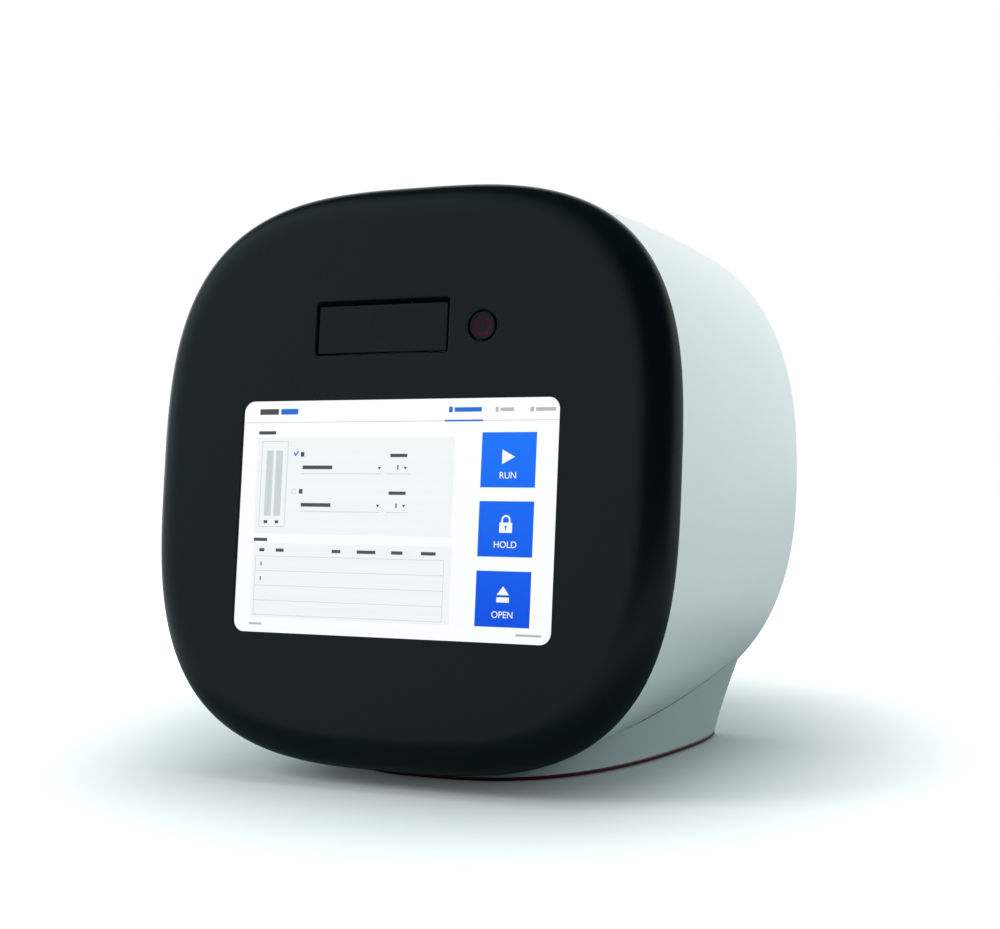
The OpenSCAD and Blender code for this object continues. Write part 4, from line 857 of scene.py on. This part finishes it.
# the display's box behind the picture, then the layers from back to front
def buildPicture():
    half = windowForm["width"] / 2 + pictureForm["margin"]
    tall = windowForm["height"] / 2 + pictureForm["margin"]
    sheet = bar(-half, half, -tall, tall)
    rear = onFace(sheet[:, 0], sheet[:, 1] - windowForm["drop"], pictureForm["back"])
    box = np.concatenate((onScreen(sheet, -1), rear))
    sides = [[k, (k + 1) % 4, (k + 1) % 4 + 4, k + 4] for k in range(4)]
    makePiece("displayBack", [(box, [[3, 2, 1, 0], [4, 5, 6, 7]] + sides)],
              "housing", "lit_display", ("lcd_panel",), "zincSheet")
    sign = pictureSigns
    frames = [side for edges in sign["frames"] for side in hollow(*edges)]
    arrows = [np.array(sign["arrow"]) + (x, up) for x in sign["arrowX"] for up in sign["arrowUp"]]
    pictureLayer("pictureGround", [sheet], "litWhite", 0)
    pictureLayer("picturePanels", layerBars("panels"), "litPanel", 1)
    pictureLayer("pictureLines", layerBars("lines") + frames, "litLine", 2)
    pictureLayer("pictureText", layerBars("text") + arrows, "litText", 2)
    pictureLayer("pictureFaint", layerBars("faint"), "litFaint", 2)
    pictureLayer("pictureAccent", layerBars("accent") + [np.array(sign["tick"])], "litAccent", 3)


# keys of the picture, and their signs from each key's middle: an arrow, a lock, and an arrow over a bar
keyForm = dict(left=48.6, right=78.6, high=27.3, feet=(15.9, -18.1, -52.3), words=("RUN", "HOLD", "OPEN"),
               wordSize=4.6, wordWeight=0.02, wordFoot=4.5)
keySigns = dict(runArrow=[(-3.5, 5.1), (-3.5, -2.2), (3.5, 1.5)],
                lockBody=(-3.5, 3.5, -1.8, 3.2), bowOut=2.5, bowIn=1.6, bowUp=4.4,
                bowSteps=24, hole=0.6, holeUp=1.1, holeSteps=32, slit=(-0.25, 0.25, -0.9, 0.9),
                openArrow=[(-3.4, 2.0), (3.4, 2.0), (0.0, 6.3)], openBar=(-3.4, 3.4, -1.6, 0.9))


# letters as a flat mesh, with their middle at x and their foot at y
def wordShape(word, x, y):
    curve = bpy.data.curves.new(word, "FONT")
    curve.body = word
    curve.size = keyForm["wordSize"]
    curve.offset = keyForm["wordWeight"]
    curve.align_x = "CENTER"
    carrier = bpy.data.objects.new(word, curve)
    mesh = bpy.data.meshes.new_from_object(carrier)
    points = np.empty(len(mesh.vertices) * 3)
    mesh.vertices.foreach_get("co", points)
    faces = [list(polygon.vertices) for polygon in mesh.polygons]
    bpy.data.objects.remove(carrier)
    bpy.data.curves.remove(curve)
    bpy.data.meshes.remove(mesh)
    return points.reshape(-1, 3)[:, :2] + (x, y), faces


# the lock's bow is a half ring on two posts
def buildKeys():
    form, sign = keyForm, keySigns
    keys = [bar(form["left"], form["right"], foot, foot + form["high"]) for foot in form["feet"]]
    middles = [key.mean(axis=0) for key in keys]
    runKey, holdKey, openKey = middles
    outer, inner, rise = sign["bowOut"], sign["bowIn"], sign["bowUp"]
    turn = np.linspace(0, np.pi, sign["bowSteps"] + 1)
    bow = np.column_stack((np.append(outer * np.cos(turn), inner * np.cos(turn[::-1])),
                           np.append(outer * np.sin(turn), inner * np.sin(turn[::-1])) + rise))
    bodyTop = sign["lockBody"][3]
    marks = [np.array(sign["runArrow"]) + runKey, bar(*sign["lockBody"]) + holdKey, bow + holdKey,
             bar(-outer, -inner, bodyTop, rise) + holdKey, bar(inner, outer, bodyTop, rise) + holdKey,
             np.array(sign["openArrow"]) + openKey, bar(*sign["openBar"]) + openKey]
    hole = np.concatenate(circle([sign["hole"]], sign["holeSteps"])).T + (0, sign["holeUp"])
    words = []
    for word, foot, middle in zip(form["words"], form["feet"], middles):
        points, faces = wordShape(word, middle[0], foot + form["wordFoot"])
        words.append((onScreen(points, 3), faces))
    pictureLayer("pictureKeys", keys, "litKey", 2)
    pictureLayer("pictureMarks", marks, "litMark", 3)
    pictureLayer("pictureKeyhole", [hole + holdKey, bar(*sign["slit"]) + holdKey], "litKey", 4)
    makePiece("pictureWords", words, "housing", "lit_display", finish="litMark")


buildPicture()
buildKeys()
print("picture done")

# camera where the photograph was taken from, as fitted to the outline
cameraPlace = dict(at=(488.05, -970.32, 166.06), pitch=89.873, turn=26.828, lens=69.756, sensor=36.0,
                   far=50.0)  # far in metres


# it stands level but for the pitch, and turns about the upright
def placeCamera():
    optics = bpy.data.cameras.new("photoCamera")
    optics.lens = cameraPlace["lens"]
    optics.sensor_width = cameraPlace["sensor"]
    optics.sensor_fit = "HORIZONTAL"
    optics.clip_end = cameraPlace["far"]
    camera = bpy.data.objects.new("photoCamera", optics)
    camera.location = Vector(cameraPlace["at"]) * mm
    camera.rotation_euler = (math.radians(cameraPlace["pitch"]), 0, math.radians(cameraPlace["turn"]))
    scene.collection.objects.link(camera)
    scene.camera = camera


# floor: pale and matt; outside an oval round the object the eye sees white added, so the oval is painted
# shade with the real shadow in it; gloss sees white in a wider circle, and the light that it throws back is
# greyer;
# places and distances are in metres, but not the mottle's size
floorLook = dict(pale="#d6e0df", mottle="#d2dddc", mottleSize=200, grey="#89a09e", reach=8.0,
                 fadeCentre=(-0.05, 0.086, 0.0), fadeTurn=20.7, fadeNarrow=0.633, fadeFrom=0.118, fadeTo=0.67,
                 shineCentre=(0.01, 0.045, 0.0), shineFrom=0.25, shineTo=0.55, shine=0.4)


# the oval of painted shade is a circle narrowed along one turned axis;
# white is added outside it by smooth steps of the distance
def buildFloor():
    look = floorLook
    material, tree = emptyMaterial("studioFloor")
    place = addNode(tree, "ShaderNodeTexCoord").outputs["Object"]
    path = addNode(tree, "ShaderNodeLightPath").outputs
    toEye = addNode(tree, "ShaderNodeMath", {
        0: path["Is Camera Ray"], 1: path["Is Transmission Ray"]}, operation="MAXIMUM").outputs["Value"]
    mottle = addNode(tree, "ShaderNodeTexNoise", {"Vector": place, "Scale": 1 / (look["mottleSize"] * mm)})
    pale = addNode(tree, "ShaderNodeMix", {
        "Factor": mottle.outputs["Fac"], "A": linear(look["pale"]), "B": linear(look["mottle"])},
        data_type="RGBA")
    colour = addNode(tree, "ShaderNodeMix", {
        "Factor": toEye, "A": linear(look["grey"]), "B": pale.outputs["Result"]}, data_type="RGBA")
    # painted shade: inside this oval no white is added, so the floor stays grey round the object
    oval = addNode(tree, "ShaderNodeMapping", {
        "Vector": place, "Location": look["fadeCentre"], "Rotation": (0, 0, math.radians(look["fadeTurn"])),
        "Scale": (look["fadeNarrow"], 1, 1)}, vector_type="TEXTURE")
    away = addNode(tree, "ShaderNodeVectorMath", {0: oval.outputs["Vector"]}, operation="LENGTH")
    fade = addNode(tree, "ShaderNodeMapRange", {
        "Value": away.outputs["Value"], "From Min": look["fadeFrom"], "From Max": look["fadeTo"]},
        interpolation_type="SMOOTHSTEP")
    around = addNode(tree, "ShaderNodeVectorMath", {0: place, 1: look["shineCentre"]}, operation="DISTANCE")
    shine = addNode(tree, "ShaderNodeMapRange", {
        "Value": around.outputs["Value"], "From Min": look["shineFrom"], "From Max": look["shineTo"],
        "To Max": look["shine"]}, interpolation_type="SMOOTHSTEP")
    toGloss = addNode(tree, "ShaderNodeMath", {
        0: path["Is Glossy Ray"], 1: shine.outputs["Result"]}, operation="MULTIPLY")
    seen = addNode(tree, "ShaderNodeMath", {
        0: toEye, 1: fade.outputs["Result"], 2: toGloss.outputs["Value"]}, operation="MULTIPLY_ADD")
    matt = addNode(tree, "ShaderNodeBsdfDiffuse", {"Color": colour.outputs["Result"]})
    raised = addNode(tree, "ShaderNodeEmission", {"Strength": seen.outputs["Value"]})
    both = addNode(tree, "ShaderNodeAddShader", {0: matt.outputs["BSDF"], 1: raised.outputs["Emission"]})
    addNode(tree, "ShaderNodeOutputMaterial", {"Surface": both.outputs["Shader"]})
    mesh = bpy.data.meshes.new("studioFloor")
    reach = look["reach"]
    corners = [(-reach, -reach, 0), (reach, -reach, 0), (reach, reach, 0), (-reach, reach, 0)]
    mesh.from_pydata(corners, [], [(0, 1, 2, 3)])
    mesh.materials.append(material)
    floor = bpy.data.objects.new("studioFloor", mesh)
    scene.collection.objects.link(floor)
    return floor


# room: white to the eye and through glass; gloss sees a white back, a pale front left, a dark front right
roomLook = dict(ambient=0.32, tint="#d2e5e4", dark=0.02, frontAim=(-0.75, -0.65, 0.30), frontFrom=0.50,
                frontTo=0.85, backAim=(0.0, 1.0, -1.0), backFrom=-0.1, backTo=0.2, backWhite=0.6)


# how far a ray goes along each aim decides how bright its side of the room is
def lightRoom():
    look = roomLook
    world = bpy.data.worlds.new("studio")
    world.use_nodes = True
    scene.world = world
    tree = world.node_tree
    tree.nodes.clear()
    path = addNode(tree, "ShaderNodeLightPath").outputs
    direct = addNode(tree, "ShaderNodeMath", {
        0: path["Is Camera Ray"], 1: path["Is Transmission Ray"]}, operation="MAXIMUM").outputs["Value"]
    ray = addNode(tree, "ShaderNodeTexCoord").outputs["Generated"]
    ahead = addNode(tree, "ShaderNodeVectorMath", {0: ray, 1: look["frontAim"]}, operation="DOT_PRODUCT")
    front = addNode(tree, "ShaderNodeMapRange", {
        "Value": ahead.outputs["Value"], "From Min": look["frontFrom"], "From Max": look["frontTo"],
        "To Min": look["dark"]})
    behind = addNode(tree, "ShaderNodeVectorMath", {0: ray, 1: look["backAim"]}, operation="DOT_PRODUCT")
    back = addNode(tree, "ShaderNodeMapRange", {
        "Value": behind.outputs["Value"], "From Min": look["backFrom"], "From Max": look["backTo"]})
    sheen = addNode(tree, "ShaderNodeMath", {
        0: front.outputs["Result"], 1: back.outputs["Result"]}, operation="MAXIMUM")
    soft = addNode(tree, "ShaderNodeMix", {
        "Factor": path["Is Glossy Ray"], "A": look["ambient"], "B": sheen.outputs["Value"]})
    level = addNode(tree, "ShaderNodeMix", {"Factor": direct, "A": soft.outputs["Result"], "B": 1.0})
    backGloss = addNode(tree, "ShaderNodeMath", {
        0: back.outputs["Result"], 1: path["Is Glossy Ray"]}, operation="MULTIPLY")
    white = addNode(tree, "ShaderNodeMath", {
        0: backGloss.outputs["Value"], 1: look["backWhite"], 2: direct}, operation="MULTIPLY_ADD")
    tint = addNode(tree, "ShaderNodeMix", {
        "Factor": white.outputs["Value"], "A": linear(look["tint"]), "B": (1, 1, 1, 1)}, data_type="RGBA")
    sky = addNode(tree, "ShaderNodeBackground", {
        "Color": tint.outputs["Result"], "Strength": level.outputs["Result"]})
    addNode(tree, "ShaderNodeOutputWorld", {"Surface": sky.outputs["Background"]})


# soft boxes, in metres; two of them would wash out the shade on the floor, so they leave the floor out
lampPlan = {
    "topBox": dict(at=(0.05, 0.05, 1.6), aim=(0, 0.02, 0.1), size=(1.4, 1.4), watts=10.0, colour="#ffffff"),
    "keyLeft": dict(at=(-1.0, -1.3, 1.1), aim=(0, 0, 0.15), size=(0.9, 0.9), watts=15.5, colour="#ffffff"),
    "sideFill": dict(at=(1.65, 0.8, 0.75), aim=(0, 0, 0.15), size=(1.0, 0.8), watts=18.8, colour="#f3fcfb"),
    "backFill": dict(at=(-0.7, 1.9, 0.8), aim=(0, 0.1, 0.2), size=(1.0, 0.8), watts=18.0, colour="#ffffff"),
}
floorSparing = ("sideFill", "backFill")


# each box looks from its place along the line to its aim
def hangLamps(floor):
    unlitFloor = bpy.data.collections.new("unlitFloor")
    unlitFloor.objects.link(floor)
    unlitFloor.collection_objects[0].light_linking.link_state = "EXCLUDE"
    for name, plan in lampPlan.items():
        light = bpy.data.lights.new(name, "AREA")
        light.shape = "RECTANGLE"
        light.size, light.size_y = plan["size"]
        light.energy = plan["watts"]
        light.color = linear(plan["colour"])[:3]
        lamp = bpy.data.objects.new(name, light)
        lamp.location = plan["at"]
        lamp.rotation_euler = (Vector(plan["aim"]) - Vector(plan["at"])).to_track_quat("-Z", "Y").to_euler()
        lamp.visible_glossy = False  # the boxes light the object without showing as glare
        if name in floorSparing:
            lamp.light_linking.receiver_collection = unlitFloor
        scene.collection.objects.link(lamp)


placeCamera()
lightRoom()
hangLamps(buildFloor())
scene.view_settings.view_transform = "Standard"
print("studio done")
